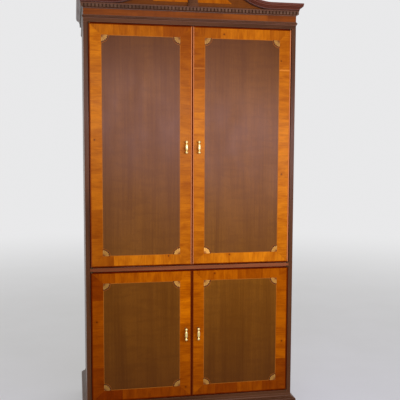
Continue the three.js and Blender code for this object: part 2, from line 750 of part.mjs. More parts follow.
// The leaf on the case: a plate flush with the board that it is let into, with a shoulder that
// keeps the door off the board and the pin. Up is +1 where the pin points up.
function caseLeaf(side, up) {
  const plate = prism(hingeOutline(side), up > 0 ? -HINGE_LEAF : 0, HINGE_LEAF);
  const shoulder = DOOR_GAP - FIT;
  const pinEnd = DOOR_GAP + HINGE_LEAF - PIN_SHORT;
  const root = HINGE_LEAF / 2;
  const ends = (reach) => (up > 0 ? [-root, reach] : [-reach, root]);
  return join(plate, turned(SHOULDER_RADIUS, ...ends(shoulder)), turned(PIN_RADIUS, ...ends(pinEnd)));
}

// The leaf on the door: the same plate with a hole that turns on the pin.
function doorLeafPlate(side, top) {
  const outline = hingeOutline(side);
  const hole = turned(PIN_RADIUS + PIN_CLEARANCE, -HINGE_LEAF - OVERRUN, HINGE_LEAF + OVERRUN);
  return cut(prism(outline, top ? -HINGE_LEAF : 0, HINGE_LEAF), hole);
}

// Doors, drawn round the pin: the leaf's face is the plane through the pin

// The bead that frames a leaf: a ring with a rolled edge, standing out of the face.
function cockbead(side, height) {
  const edges = [side * PIN_INSET, side * (PIN_INSET - DOOR_WIDTH)];
  const left = Math.min(...edges);
  const right = Math.max(...edges);
  const outline = polygon([[left, 0], [right, 0], [right, height], [left, height]]);
  outline.holes.push(new THREE.Path([
    new THREE.Vector2(left + BEAD_WIDTH, BEAD_WIDTH),
    new THREE.Vector2(left + BEAD_WIDTH, height - BEAD_WIDTH),
    new THREE.Vector2(right - BEAD_WIDTH, height - BEAD_WIDTH),
    new THREE.Vector2(right - BEAD_WIDTH, BEAD_WIDTH),
  ]));
  const roll = (BEAD_WIDTH - BEAD_FLAT) / 2;
  const bead = new THREE.ExtrudeGeometry(outline, {
    depth: BEAD_EMBED,
    bevelThickness: BEAD_RISE,
    bevelSize: roll,
    bevelOffset: -roll,
    bevelSegments: ARC_STEPS,
  });
  bead.applyMatrix4(new THREE.Matrix4().makeBasis(
    new THREE.Vector3(1, 0, 0),
    new THREE.Vector3(0, 0, 1),
    new THREE.Vector3(0, -1, 0),
  ));
  return bead.translate(0, BEAD_EMBED, 0);
}

function doorLeaf(side, height) {
  const slab = block([side * PIN_INSET, side * (PIN_INSET - DOOR_WIDTH)], [0, BOARD_THICK], [0, height]);
  const bed = hingeBed(side, PIN_INSET + OVERRUN);
  const low = prism(bed, -OVERRUN, HINGE_LEAF + OVERRUN);
  const high = prism(bed, height - HINGE_LEAF, HINGE_LEAF + OVERRUN);
  return cut(join(slab, cockbead(side, height)), low, high);
}

// A pull: two turned posts with ball heads, joined by a grip that swells in the middle.
function pull() {
  const post = [[0, 0], [PULL_ROSE, 0], [PULL_ROSE, PULL_ROSE_THICK / 2], [PULL_NECK, PULL_ROSE_THICK]];
  const ballSteps = 2 * ARC_STEPS;
  const first = Math.asin(PULL_NECK / PULL_BALL);
  for (let i = 0; i <= ballSteps; i += 1) {
    const angle = Math.PI - first - ((Math.PI - first) * i) / ballSteps;
    post.push([PULL_BALL * Math.sin(angle), PULL_STAND + PULL_BALL * Math.cos(angle)]);
  }
  post[post.length - 1][0] = 0;
  const grip = [[0, -PULL_SPACING / 2]];
  for (let i = 0; i <= TURN_STEPS; i += 1) {
    const share = (2 * i) / TURN_STEPS - 1;
    const swell = Math.cos((share * Math.PI) / 2) ** 2;
    grip.push([PULL_NECK + (PULL_BELLY - PULL_NECK) * swell, (share * PULL_SPACING) / 2]);
  }
  grip.push([0, PULL_SPACING / 2]);
  const lathe = (outline) => new THREE.LatheGeometry(
    outline.map(([radius, height]) => new THREE.Vector2(radius, height)),
    TURN_STEPS,
  );
  const posts = [-1, 1].map((end) => (
    lathe(post).rotateX(Math.PI).translate(0, 0, (end * PULL_SPACING) / 2)
  ));
  const handle = lathe(grip).rotateX(Math.PI / 2).translate(0, -PULL_STAND, 0);
  return join(handle, ...posts);
}

// Putting it together

const armoire = new THREE.Group();
armoire.position.y = -(CASE_DEPTH - CROWN_REACH) / 2;

function add(parent, name, geometry, material, place = [0, 0, 0]) {
  const mesh = new THREE.Mesh(geometry, material);
  mesh.name = name;
  mesh.position.set(...place);
  parent.add(mesh);
}

add(armoire, 'side_left', sidePanel(-1), MAHOGANY);
add(armoire, 'side_right', sidePanel(1), MAHOGANY);
add(armoire, 'floor_panel', floorPanel(), MAHOGANY);
add(armoire, 'mid_deck', midDeck(), MAHOGANY);
add(armoire, 'roof_panel', roofPanel(), CARCASS);
add(armoire, 'bottom_rail', bottomRail(), MAHOGANY);
add(armoire, 'frieze_board', friezeBoard(), MAHOGANY);
add(armoire, 'pediment_board', pedimentBoard(), MAHOGANY);

const deckMiddle = (DECK_UNDER + DECK_TOP) / 2;
add(armoire, 'back_lower', backPanel(
  FLOOR_UNDER + FIT,
  deckMiddle - FIT / 2,
  FLOOR_TOP + CABLE_SLOT_RISE,
), BACKING);
add(armoire, 'back_upper', backPanel(
  deckMiddle + FIT / 2,
  CROWN_TOP,
  DECK_TOP + CABLE_SLOT_RISE,
), BACKING);
add(armoire, 'shelf_lower', shelf(shelfUnder(FLOOR_TOP, LOWER_SHELF_RISE)), CARCASS);
add(armoire, 'shelf_upper', shelf(shelfUnder(DECK_TOP, UPPER_SHELF_RISE)), CARCASS);
add(armoire, 'door_stop_lower', doorStop(DECK_UNDER), CARCASS);
add(armoire, 'door_stop_upper', doorStop(OPENING_TOP), CARCASS);

for (const [word, wall] of [['front', FRONT], ['left', LEFT], ['right', RIGHT]]) {
  const base = moulding(baseSection(), wall, FOOT_HEIGHT, BASE_MOULD_REACH);
  const bead = moulding(astragalSection(), wall, ASTRAGAL_BOTTOM, ASTRAGAL_REACH);
  add(armoire, `base_moulding_${word}`, base, MAHOGANY);
  add(armoire, `astragal_${word}`, bead, MAHOGANY);
  add(armoire, `dentil_${word}`, dentilBand(wall), MAHOGANY);
}

for (const [word, side, wall] of [['left', -1, LEFT], ['right', 1, RIGHT]]) {
  const crown = moulding(crownSection((reach, rise) => [reach, rise]), wall, CROWN_BOTTOM, CROWN_REACH);
  const flower = rosette().rotateX(Math.PI);
  add(armoire, `crown_${word}`, crown, MAHOGANY);
  add(armoire, `scroll_${word}`, swanNeck(side), MAHOGANY);
  add(armoire, `rosette_${word}`, flower, MAHOGANY, [side * ROSETTE_X, 0, ROSETTE_Z]);
  add(armoire, `foot_front_${word}`, bracketFoot(side, true), MAHOGANY);
  add(armoire, `foot_rear_${word}`, bracketFoot(side, false), MAHOGANY);
}

const plinthTop = VALLEY + PLINTH_STAND + PLINTH_CAP_HEIGHT;
add(armoire, 'plinth', plinth(), MAHOGANY);
add(armoire, 'finial', finial(), MAHOGANY, [0, (BOARD_THICK - PLINTH_REACH) / 2, plinthTop]);

const stages = [
  ['lower', FLOOR_TOP, LOWER_OPENING],
  ['upper', DECK_TOP, UPPER_OPENING],
];
for (const [stage, bottom, opening] of stages) {
  const height = opening - 2 * DOOR_GAP;
  for (const [word, side] of [['left', -1], ['right', 1]]) {
    const hinge = [side * PIN_X, DOOR_SETBACK, bottom];
    const above = [side * PIN_X, DOOR_SETBACK, bottom + opening];
    add(armoire, `hinge_case_${stage}_${word}_low`, caseLeaf(side, 1), BRONZE, hinge);
    add(armoire, `hinge_case_${stage}_${word}_high`, caseLeaf(side, -1), BRONZE, above);

    const door = new THREE.Group();
    door.position.set(side * PIN_X, DOOR_SETBACK, bottom + DOOR_GAP);
    const freeEdge = PIN_INSET - DOOR_WIDTH;
    add(door, `door_${stage}_${word}`, doorLeaf(side, height), YEW);
    add(door, `pull_${stage}_${word}`, pull(), BRASS, [side * (freeEdge + PULL_INSET), 0, height / 2]);
    add(door, `hinge_door_${stage}_${word}_low`, doorLeafPlate(side, false), BRONZE);
    add(door, `hinge_door_${stage}_${word}_high`, doorLeafPlate(side, true), BRONZE, [0, 0, height]);
    armoire.add(door);
  }
}

export default armoire;
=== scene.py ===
"""The looks of a television armoire in the Georgian manner: mahogany case, inlaid doors, brass pulls.

Metres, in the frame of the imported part: X to the right, Y from the doors to the back, Z up from the floor.
"""

import math

import bmesh
import bpy
import numpy as np
from mathutils import Matrix, Quaternion, Vector


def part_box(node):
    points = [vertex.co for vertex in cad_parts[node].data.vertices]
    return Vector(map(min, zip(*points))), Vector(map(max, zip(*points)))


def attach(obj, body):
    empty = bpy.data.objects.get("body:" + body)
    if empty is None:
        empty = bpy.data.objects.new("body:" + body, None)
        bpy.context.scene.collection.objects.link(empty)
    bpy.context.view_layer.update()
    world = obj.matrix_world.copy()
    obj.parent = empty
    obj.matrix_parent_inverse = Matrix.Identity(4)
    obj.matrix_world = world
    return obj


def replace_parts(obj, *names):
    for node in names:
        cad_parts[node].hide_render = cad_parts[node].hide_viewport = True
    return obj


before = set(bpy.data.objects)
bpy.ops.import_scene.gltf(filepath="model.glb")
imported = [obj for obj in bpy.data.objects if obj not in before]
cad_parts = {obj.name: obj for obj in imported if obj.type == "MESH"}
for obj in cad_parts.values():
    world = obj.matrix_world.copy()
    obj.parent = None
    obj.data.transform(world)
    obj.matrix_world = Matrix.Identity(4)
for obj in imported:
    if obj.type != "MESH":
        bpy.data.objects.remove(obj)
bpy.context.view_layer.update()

MM = 0.001  # in metres
STAGES = ("lower", "upper")
SIDES = {"left": -1, "right": 1}

# Places that the frame gives
HALF_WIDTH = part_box("side_right")[1].x
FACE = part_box("side_right")[0].y
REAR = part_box("side_right")[1].y
CROWN_BOTTOM, CROWN_TOP = (corner.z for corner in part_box("crown_left"))
CROWN_HEIGHT = CROWN_TOP - CROWN_BOTTOM
CROWN_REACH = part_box("crown_right")[1].x - HALF_WIDTH

# Mouldings
ASTRAGAL_FILLET = 2 * MM
ASTRAGAL_EDGE = 3.5 * MM
COVE_HEIGHT = 7 * MM
DENTIL_HEIGHT = 14 * MM
DENTIL_CAP_HEIGHT = 5 * MM
DENTIL_GROUND = 5 * MM
DENTIL_REACH = 10.5 * MM
DENTIL_CAP_REACH = 11.5 * MM
DENTIL_WIDTH = 10.5 * MM
DENTIL_PITCH = 17 * MM
ARRIS = 0.5 * MM
BOARD_ARRIS = 0.9 * MM
# How high the painted shadow along the crown's foot reaches
CROWN_SHADOW_HEIGHT = 0.12 * CROWN_HEIGHT
# Painted shadow, as values of the wear measure: along the crown's foot, on the ground between the dentils,
# and along the foot of their cove
PAINTED_SHADOW, PAINTED_GROUND_SHADE, PAINTED_FOOT_SHADOW = -0.6, -0.45, -0.4

# The swan neck and what stands on the pediment
SWEEP_RADIUS = 255 * MM
SWEEP_TURN = math.radians(50)
SWEEP_STEPS = 32
CREST_RADIUS = 90 * MM
CREST_OVERTURN = math.radians(25)
CREST_STEPS = 40
ROSETTE_X, _, ROSETTE_Z = (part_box("rosette_right")[0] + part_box("rosette_right")[1]) / 2
ROSETTE_RADIUS = 28 * MM
ROSETTE_RIM = 9 * MM
ROSETTE_RISE = 7 * MM
ROSETTE_PETALS = 10
ROSETTE_SEAT = 0.3 * MM
BOSS_RADIUS = 7 * MM
VALLEY = CROWN_BOTTOM + 75 * MM
PEDIMENT_THICK = 19 * MM
PLINTH_HALF = 22 * MM
PLINTH_REACH = 12 * MM
PLINTH_FOOT_HEIGHT = 19 * MM
PLINTH_LIP = 3 * MM
PLINTH_CAP_LIP = 6 * MM
PLINTH_CAP_HEIGHT = 12 * MM

# The centres of the two arcs, which meet where they lean alike and end on the rosette
CREST_MIDDLE = CREST_RADIUS + CROWN_HEIGHT / 2
CREST_X = ROSETTE_X + CREST_MIDDLE * math.sin(CREST_OVERTURN)
CREST_Z = CROWN_BOTTOM + SWEEP_RADIUS - (SWEEP_RADIUS + CREST_RADIUS) * math.cos(SWEEP_TURN)
SWEEP_X = CREST_X + (SWEEP_RADIUS + CREST_RADIUS) * math.sin(SWEEP_TURN)
SWEEP_Z = CROWN_BOTTOM + SWEEP_RADIUS

# Doors
BEAD_WIDTH = 6 * MM
BEAD_RISE = 2 * MM
BEAD_PROUD = 0.12 * MM
BEAD_ROOT = 1.5 * MM
BAND_AT_SIDES = 52 * MM
BAND_AT_ENDS = 48 * MM
BAND_WIDTHS = np.array([BAND_AT_SIDES, BAND_AT_ENDS])
LEAVES_ACROSS = 4
LEAF_HEIGHT = 150 * MM
LEAF_CHANCE = 0.07
SEAM_WIDTH = 7 * MM
FIELD_CORNER_ROWS = 17
FIELD_ROWS = 12
STRING_WIDTH = 2.2 * MM
VENEER = 0.35 * MM
JOINT = 0.12 * MM
FAN_RADIUS = 37 * MM
FAN_STRING = 1.5 * MM
FAN_TIP = 31 * MM
FAN_PETALS = 5
FAN_EYE = 4 * MM
FAN_SCALLOP = 4 * MM
FAN_SLIT = 0.3 * MM

# How light the four fans of a door are, going round from the foot's left one: painted shade, darker on
# the lower doors and mostly under the heads
FAN_PAINTED_SHADE = {
    "upper_left": (-0.42, -0.07, -0.45, -0.33),
    "upper_right": (0.28, -0.22, -0.4, -0.42),
    "lower_left": (-0.48, -0.4, -0.18, -0.48),
    "lower_right": (-0.35, -0.38, -0.28, -0.2),
}

# Where the leaves of a crossbanding have knots, in X and Z
KNOTS = {
    "upper_right": [(0.155, 1.941), (0.4445, 1.82), (0.453, 1.2625), (0.189, 0.864)],
    "upper_left": [(-0.117, 0.866), (-0.47, 1.43)],
    "lower_right": [(0.115, 0.772), (0.466, 0.41)],
    "lower_left": [(-0.467, 0.55), (-0.03, 0.2)],
}

# How light the leaves of a crossbanding are at the start, the middle and the end of its foot, its right
# edge, its head and its left edge, going round a door with the foot's left end first: partly the leaves'
# own lightness and partly painted shade, darker on the lower doors
BAND_TONE_AND_SHADE = {
    "upper_left": [(-0.45, 0.4, -0.05), (0.1, -0.15, -0.4), (-0.5, -0.15, -0.1), (0.2, 0.15, -0.35)],
    "upper_right": [(0.1, 0.55, 0.15), (0.15, 0.25, -0.3), (-0.35, 0.3, -0.4), (-0.45, 0.1, 0.1)],
    "lower_left": [(-0.65, -0.35, -0.45), (-0.4, 0.12, 0.1), (-0.1, 0.0, -0.35), (-0.45, -0.3, -0.65)],
    "lower_right": [(-0.4, -0.4, -0.4), (-0.6, 0.1, -0.4), (-0.35, -0.15, -0.15), (-0.15, 0.15, -0.25)],
}

# How light the fields are, evenly from the foot to the head: painted shade, darker towards the floor on
# the lower doors and under the head on the upper ones
FIELD_PAINTED_SHADE = {
    "upper_left": (0.14, 0.1, 0.04, 0.16, -0.2),
    "upper_right": (0.2, 0.2, 0.1, 0.12, -0.24),
    "lower_left": (-0.24, -0.04, 0.02),
    "lower_right": (-0.2, 0.06, 0.34),
}

# Pale sapwood seams across the two upright runs of a crossbanding: how high each lies, and how light it
# is on the left and on the right
SAPWOOD = {"upper_right": [(1.776, -0.15, 0.55)]}

# How light a door's bead is painted along its foot, its right edge, its head and its left edge: painted
# shade on the level runs and on the lower doors, and a painted highlight along the crests of the upright
# runs of the upper doors
BEAD_PAINTED_LIGHT = {
    "upper_left": (-0.3, 0.5, -0.45, -0.15),
    "upper_right": (-0.3, 0.9, -0.45, 0.5),
    "lower_left": (-0.4, -0.2, -0.5, -0.4),
    "lower_right": (-0.4, -0.35, -0.5, -0.2),
}

# Pulls
PULL_STAND = 20 * MM
PULL_BALL = 6.8 * MM
PULL_BELLY = 7.2 * MM
PULL_NECK = 2.7 * MM
PULL_ROSE = 5.4 * MM
PULL_SPACING = 50 * MM
# The reach of the grip's barrel, the place of its rings and their width, as shares of half the spacing
GRIP_BARREL = 0.64
GRIP_RING = 0.7
GRIP_RING_WIDTH = 0.03

# Inlay of the pediment
PANEL_BORDER = 51 * MM
PANEL_FOOT = 20.5 * MM
PANEL_INSIDE = 24 * MM
PANEL_TOP = VALLEY - 19 * MM


# Arrays of points

# The least turn in radians that is a corner, the most of an edge that rounding its corner takes, and
# how fast a board's rubbing and painted highlight grow as its arris turns from the face
SHARP_TURN = 0.3
MOST_CUT = 0.4
ARRIS_RUB_AND_HIGHLIGHT = 3.4


def bend(start, corner, end, steps=10):
    """A curve from start to end that leans towards a corner: the three points weighted by (1 - t)
    squared, 2 t (1 - t) and t squared, for t from 0 to 1."""
    t = np.linspace(0, 1, steps + 1)[:, None]
    return (1 - t) ** 2 * np.array(start) + 2 * t * (1 - t) * np.array(corner) + t**2 * np.array(end)


def rectangle(low, high):
    """The corners of a rectangle between two opposite ones, going round from the first."""
    return np.array([(low[0], low[1]), (high[0], low[1]), (high[0], high[1]), (low[0], high[1])])


def arc(centre, radius, start, end, steps=12):
    """Points at one radius from a centre, turning evenly from a start angle to an end angle."""
    angle = np.linspace(start, end, steps + 1)
    return np.array(centre) + radius * np.stack([np.cos(angle), np.sin(angle)], 1)


def eased(outline, radius, steps=3):
    """A closed outline with its sharp corners rounded, and the wear measure at each point:
    a corner gives way to a bend between two points at the radius from it, and the measure is the turn there
    in right angles, above zero on an arris, where polish is thinned by handling and a highlight is painted,
    and below zero in a quirk, where glazing and painted shade darken it, and half as much where the bend
    starts and ends."""
    outline = np.asarray(outline, float)
    before, after = np.roll(outline, 1, 0) - outline, np.roll(outline, -1, 0) - outline
    long_before, long_after = np.linalg.norm(before, axis=1), np.linalg.norm(after, axis=1)
    turn = np.arctan2(
        -before[:, 0] * after[:, 1] + before[:, 1] * after[:, 0], -(before * after).sum(1)
    )
    cut = np.minimum(radius, MOST_CUT * np.minimum(long_before, long_after))[:, None]
    start, end = outline + before / long_before[:, None] * cut, outline + after / long_after[:, None] * cut
    rounded = bend(start[:, None], outline[:, None], end[:, None], steps)
    sharp = np.abs(turn) > SHARP_TURN
    rounded[~sharp, 0] = outline[~sharp]
    kept = sharp[:, None] | (np.arange(steps + 1) == 0)[None, :]
    bulge = np.sin(np.linspace(0, math.pi, steps + 1)).clip(0.5)
    wear = np.where(sharp, turn / (math.pi / 2), 0)[:, None] * bulge
    return rounded[kept], np.broadcast_to(wear, kept.shape)[kept]


def lattice(rows, columns, wrap_rows=False, wrap_columns=False):
    """The faces of a grid of points: each has four neighbouring points for its corners."""
    down = np.arange(rows if wrap_rows else rows - 1)[:, None]
    along = np.arange(columns if wrap_columns else columns - 1)[None, :]
    corners = [(down, along), (down, along + 1), (down + 1, along + 1), (down + 1, along)]
    return np.stack([(i % rows) * columns + j % columns for i, j in corners], -1).reshape(-1, 4)


def in_leaf(x, z, turn, shift):
    """Places along and across a grain that runs along X turned by an angle, in a timber that starts at a
    shifted place: x cos + z sin, and z cos - x sin."""
    cosine, sine = math.cos(turn), math.sin(turn)
    return np.stack([x * cosine + z * sine + shift[0], z * cosine - x * sine + shift[1]], -1)


# What a finish reads at each point, beside its place in the grain and the place of a knot
MEASURES = ("tone", "wear", "shade")
NO_KNOT = (9.0, 9.0)


class Shell:
    """The patches of one piece. A patch has points, faces, a finish, and for each point its place along
    and across the grain, the place of its leaf's knot there, and three measures that finishes read:
    tone is the timber's own lightness, and on the doors also painted shade and highlight;
    wear runs from -1 in a quirk, glazing and painted shade, to 1 on an arris, polish
    thinned by handling and a painted highlight; and shade is how far hot sand has scorched a petal, or how
    dark a post is towards its rose."""

    def __init__(self):
        self.points = []
        self.faces = []
        self.finishes = []
        self.readings = []
        self.total = 0

    def add(self, points, faces, grain, finish=0, tone=0.0, wear=0.0, shade=0.0, knot=NO_KNOT):
        """A patch. A measure is one number for all of it or a number for each point."""
        points = np.reshape(points, (-1, 3))
        readings = np.zeros((len(points), 7))
        readings[:, 0:2] = np.reshape(grain, (-1, 2))
        for column, measure in enumerate((tone, wear, shade), 2):
            readings[:, column] = np.ravel(measure)
        readings[:, 5:7] = knot
        self.points.append(points)
        self.faces += [(np.asarray(face) + self.total).tolist() for face in faces]
        corners = np.concatenate([np.ravel(face) for face in faces])
        self.readings.append(readings[corners])
        self.finishes.append(np.full(len(faces), finish))
        self.total += len(points)

    def grid(self, points, wrap_rows=False, wrap_columns=False, ends=False, **reading):
        """A patch from rows of points. With ends, the first and the last row are closed by a face each.
        Where no grain is given, it is the mean length walked along the rows and along the columns."""
        rows, columns = points.shape[:2]
        faces = list(lattice(rows, columns, wrap_rows, wrap_columns))
        if ends:
            faces += [np.arange(columns)[::-1], (rows - 1) * columns + np.arange(columns)]
        if "grain" not in reading:
            along = np.linalg.norm(np.diff(points, axis=0), axis=2).mean(1)
            across = np.linalg.norm(np.diff(points, axis=1), axis=2).mean(0)
            walked = (np.concatenate([[0], np.cumsum(steps)]) for steps in (along, across))
            reading["grain"] = np.stack(np.meshgrid(*walked, indexing="ij"), -1)
        for measure in MEASURES:
            if measure in reading:
                reading[measure] = np.broadcast_to(reading[measure], (rows, columns))
        self.add(points, faces, **reading)

    def board(self, low, high, ease=ARRIS, steps=2, **reading):
        """A board with rounded arrises: a corner of a smaller box inside, pushed out by the radius in a
        direction that fans out by up to 45 degrees past the edges of its face. The wear
        measure, polish thinned by handling and a painted highlight, grows as the direction leaves the face's
        own, to about 1 at 45 degrees."""
        low, high = np.array(low, float), np.array(high, float)
        ease = min(ease, 0.45 * (high - low).min())
        fan = np.tan(np.linspace(-math.pi / 4, 0, steps + 1))
        tilt = np.concatenate([fan, -fan[::-1]])
        end = np.repeat([0, 1], steps + 1)
        inner = np.array([low + ease, high - ease])
        for axis in range(3):
            across, along = (axis + 1) % 3, (axis + 2) % 3
            for side in (0, 1):
                direction = np.zeros((len(tilt), len(tilt), 3))
                direction[..., axis] = 2 * side - 1
                direction[..., across] = tilt[:, None]
                direction[..., along] = tilt[None, :]
                direction /= np.linalg.norm(direction, axis=2, keepdims=True)
                centre = np.zeros_like(direction)
                centre[..., axis] = inner[side, axis]
                centre[..., across] = inner[end, across][:, None]
                centre[..., along] = inner[end, along][None, :]
                wear = (ARRIS_RUB_AND_HIGHLIGHT * (1 - np.abs(direction[..., axis]))).clip(0, 1)
                grain = centre[..., [along, across]]
                self.grid(centre + ease * direction, wear=wear, grain=grain, **reading)

    def plate(self, outline, front, thick, grain_turn=0.0, shift=(0.0, 0.0), **reading):
        """A flat inlay that faces the room: an outline in X and Z, a thickness back from its front. The
        grain runs along X turned by an angle, and starts at a shifted place in the timber."""
        outline = np.asarray(outline, float)
        count = len(outline)
        depth = np.repeat([front, front + thick], count)
        x, z = np.tile(outline, (2, 1)).T
        faces = [np.arange(count), np.arange(count)[::-1] + count, *lattice(2, count, wrap_columns=True)]
        self.add(np.stack([x, depth, z], 1), faces, in_leaf(x, z, grain_turn, shift), **reading)

    def piece(self, name, body, materials, slot, flat_above=38, weighted=True):
        """The finished mesh: points that meet are one, faces point outwards, and only edges that turn
        by more than an angle are sharp."""
        mesh = bpy.data.meshes.new(name)
        mesh.from_pydata(np.concatenate(self.points).tolist(), [], self.faces)
        mesh.polygons.foreach_set("material_index", np.concatenate(self.finishes).astype(np.int32))
        readings = np.concatenate(self.readings).astype(np.float32)
        mesh.uv_layers.new(name="grain").data.foreach_set("uv", readings[:, 0:2].ravel())
        for column, measure in enumerate(MEASURES, 2):
            layer = mesh.attributes.new(measure, "FLOAT", "CORNER")
            layer.data.foreach_set("value", np.ascontiguousarray(readings[:, column]))
        knots = mesh.attributes.new("knot", "FLOAT_VECTOR", "CORNER")
        centres = np.concatenate([readings[:, 5:7], np.zeros((len(readings), 1), np.float32)], 1)
        knots.data.foreach_set("vector", centres.ravel())
        whole = bmesh.new()
        whole.from_mesh(mesh)
        bmesh.ops.remove_doubles(whole, verts=whole.verts, dist=0.002 * MM)
        bmesh.ops.dissolve_degenerate(whole, edges=whole.edges, dist=0.0001 * MM)
        bmesh.ops.recalc_face_normals(whole, faces=whole.faces)
        whole.to_mesh(mesh)
        whole.free()
        return settle(name, mesh, body, materials, flat_above, weighted)


def settle(name, mesh, body, materials, flat_above=38, weighted=True):
    """Shades a mesh, gives it its finishes and sets it on the body that carries it."""
    for material in materials:
        mesh.materials.append(material)
    mesh.polygons.foreach_set("use_smooth", np.ones(len(mesh.polygons), bool))
    mesh.set_sharp_from_angle(angle=math.radians(flat_above))
    piece = bpy.data.objects.new(name, mesh)
    bpy.context.scene.collection.objects.link(piece)
    if weighted:
        normals = piece.modifiers.new("flat faces stay flat", "WEIGHTED_NORMAL")
        normals.keep_sharp = True
    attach(piece, body)
    return piece


def eased_board(node, body, materials, ease=BOARD_ARRIS):
    """A copy of a node's solid with flat faces made one and its arrises taken off by a bevel that turns
    from face to face in two steps. The last of its finishes is the arrises'."""
    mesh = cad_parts[node].data
    count = len(mesh.vertices)
    points = np.zeros(3 * count)
    mesh.vertices.foreach_get("co", points)
    corners = np.zeros(len(mesh.loops), np.int32)
    mesh.loops.foreach_get("vertex_index", corners)
    copy = bpy.data.meshes.new(node + "_eased")
    copy.from_pydata(points.reshape(-1, 3).tolist(), [], corners.reshape(-1, 3).tolist())
    whole = bmesh.new()
    whole.from_mesh(copy)
    bmesh.ops.remove_doubles(whole, verts=whole.verts, dist=0.01 * MM)
    flat = math.radians(0.5)
    bmesh.ops.dissolve_limit(whole, angle_limit=flat, verts=whole.verts, edges=whole.edges)
    whole.to_mesh(copy)
    whole.free()
    piece = settle(node + "_eased", copy, body, materials, 30, weighted=False)
    bevel = piece.modifiers.new("arrises", "BEVEL")
    bevel.width = ease
    bevel.segments = 2
    bevel.limit_method = "ANGLE"
    bevel.angle_limit = math.radians(30)
    bevel.harden_normals = True
    bevel.material = len(materials) - 1
    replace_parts(piece, node)
    return piece


def second_finish(board, below):
    """Gives a board's second finish to the faces whose normal has a Y part below a limit."""
    normals = np.zeros(3 * len(board.data.polygons))
    board.data.polygons.foreach_get("normal", normals)
    chosen = normals.reshape(-1, 3)[:, 1] < below
    board.data.polygons.foreach_set("material_index", chosen.astype(np.int32))


# Finishes


def paint(red, green, blue):
    """A colour as it shows, in steps from 0 to 255, turned into the light that it gives back."""
    shown = np.array([red, green, blue]) / 255
    light = np.where(shown <= 0.04045, shown / 12.92, ((shown + 0.055) / 1.055) ** 2.4)
    return (*light.tolist(), 1.0)


def times(share, colour):
    """A colour's light times a share."""
    return (*(share * part for part in colour[:3]), 1.0)


class Finish:
    """A material or a world under way, with short names for the steps that a finish is made of."""

    def __init__(self, owner, shader="Principled BSDF"):
        self.owner = owner
        self.owner.use_nodes = True
        self.tree = self.owner.node_tree
        self.shader = self.tree.nodes[shader]

    def put(self, socket, value):
        """Leads a value to a socket, or sets the socket to it where it is a plain number or colour."""
        if isinstance(value, bpy.types.NodeSocket):
            self.tree.links.new(value, socket)
        else:
            socket.default_value = value

    def node(self, kind, inputs, **settings):
        """One step, with its settings and with what goes into it."""
        made = self.tree.nodes.new("ShaderNode" + kind)
        for key, value in settings.items():
            setattr(made, key, value)
        for key, value in inputs.items():
            self.put(made.inputs[key], value)
        return made

    def dressed(self, inputs):
        """The material or world with its shader's inputs set."""
        for key, value in inputs.items():
            self.put(self.shader.inputs[key], value)
        return self.owner

    def calc(self, operation, first, second=0.0):
        """One operation on two numbers."""
        return self.node("Math", {0: first, 1: second}, operation=operation).outputs[0]

    def ramp(self, value, low, high, to_low=0.0, to_high=1.0):
        """A value carried from one range to another, and held at its ends."""
        inputs = {"Value": value, 1: low, 2: high, 3: to_low, 4: to_high}
        return self.node("MapRange", inputs, interpolation_type="SMOOTHSTEP").outputs[0]

    def blend(self, share, first, second, way="MIX"):
        """A first colour with a share of a second."""
        inputs = {0: share, 6: first, 7: second}
        return self.node("Mix", inputs, data_type="RGBA", blend_type=way).outputs[2]

    def noise(self, place, stretch, detail=2.0, rough=0.5, swirl=0.0):
        """Cloudy variation with its own number of swells to the metre in each direction."""
        spread = self.node("VectorMath", {0: place, 1: stretch}, operation="MULTIPLY").outputs[0]
        inputs = {"Vector": spread, "Scale": 1.0, "Detail": detail, "Roughness": rough, "Distortion": swirl}
        return self.node("TexNoise", inputs).outputs[0]

    def measure(self, name):
        """A measure of the piece's points, by its name."""
        return self.node("Attribute", {}, attribute_name=name).outputs["Fac"]

    def along(self, grain):
        """A place in the timber with X along the grain: read from the piece's own veneer coordinates,
        or from the object's, turned so that the named axis lies along X."""
        if grain == "veneer":
            return self.node("UVMap", {}, uv_map="grain").outputs[0]
        turns = {"X": (0, 0, 0), "Z": (0, math.pi / 2, 0)}
        place = self.node("TexCoord", {}).outputs["Object"]
        return self.node("Mapping", {"Vector": place, "Rotation": turns[grain]}).outputs[0]

    def bump(self, height, strength, distance):
        """The surface's direction as a small relief leaves it."""
        inputs = {"Height": height, "Strength": strength, "Distance": distance}
        return self.node("Bump", inputs).outputs[0]

    def seen(self):
        """1 on rays from the camera and on those that metal or glass sends on, and 0 on all others."""
        rays = self.node("LightPath", {}).outputs
        sent_on = self.calc("MAXIMUM", rays["Is Glossy Ray"], rays["Is Transmission Ray"])
        return self.calc("MAXIMUM", rays["Is Camera Ray"], sent_on)


# The tint of the light that old varnish gives back
AGED = (1.0, 0.7, 0.5, 1.0)
HAZE = (1.0, 0.8, 0.52, 1.0)

# How many to the metre there are of mahogany's swells and streaks, and of all timber's fibres, pores,
# cross figure and clouds in the polish, along the grain and across it
BROAD = (1.5, 24.0, 24.0)
FINE = (3.0, 170.0, 170.0)
FIBRES = (28.0, 1500.0, 1500.0)
PORES = (70.0, 1300.0, 1300.0)
CROSS_FIGURE = (38.0, 9.0, 9.0)
CLOUDS = (5.0, 9.0, 9.0)


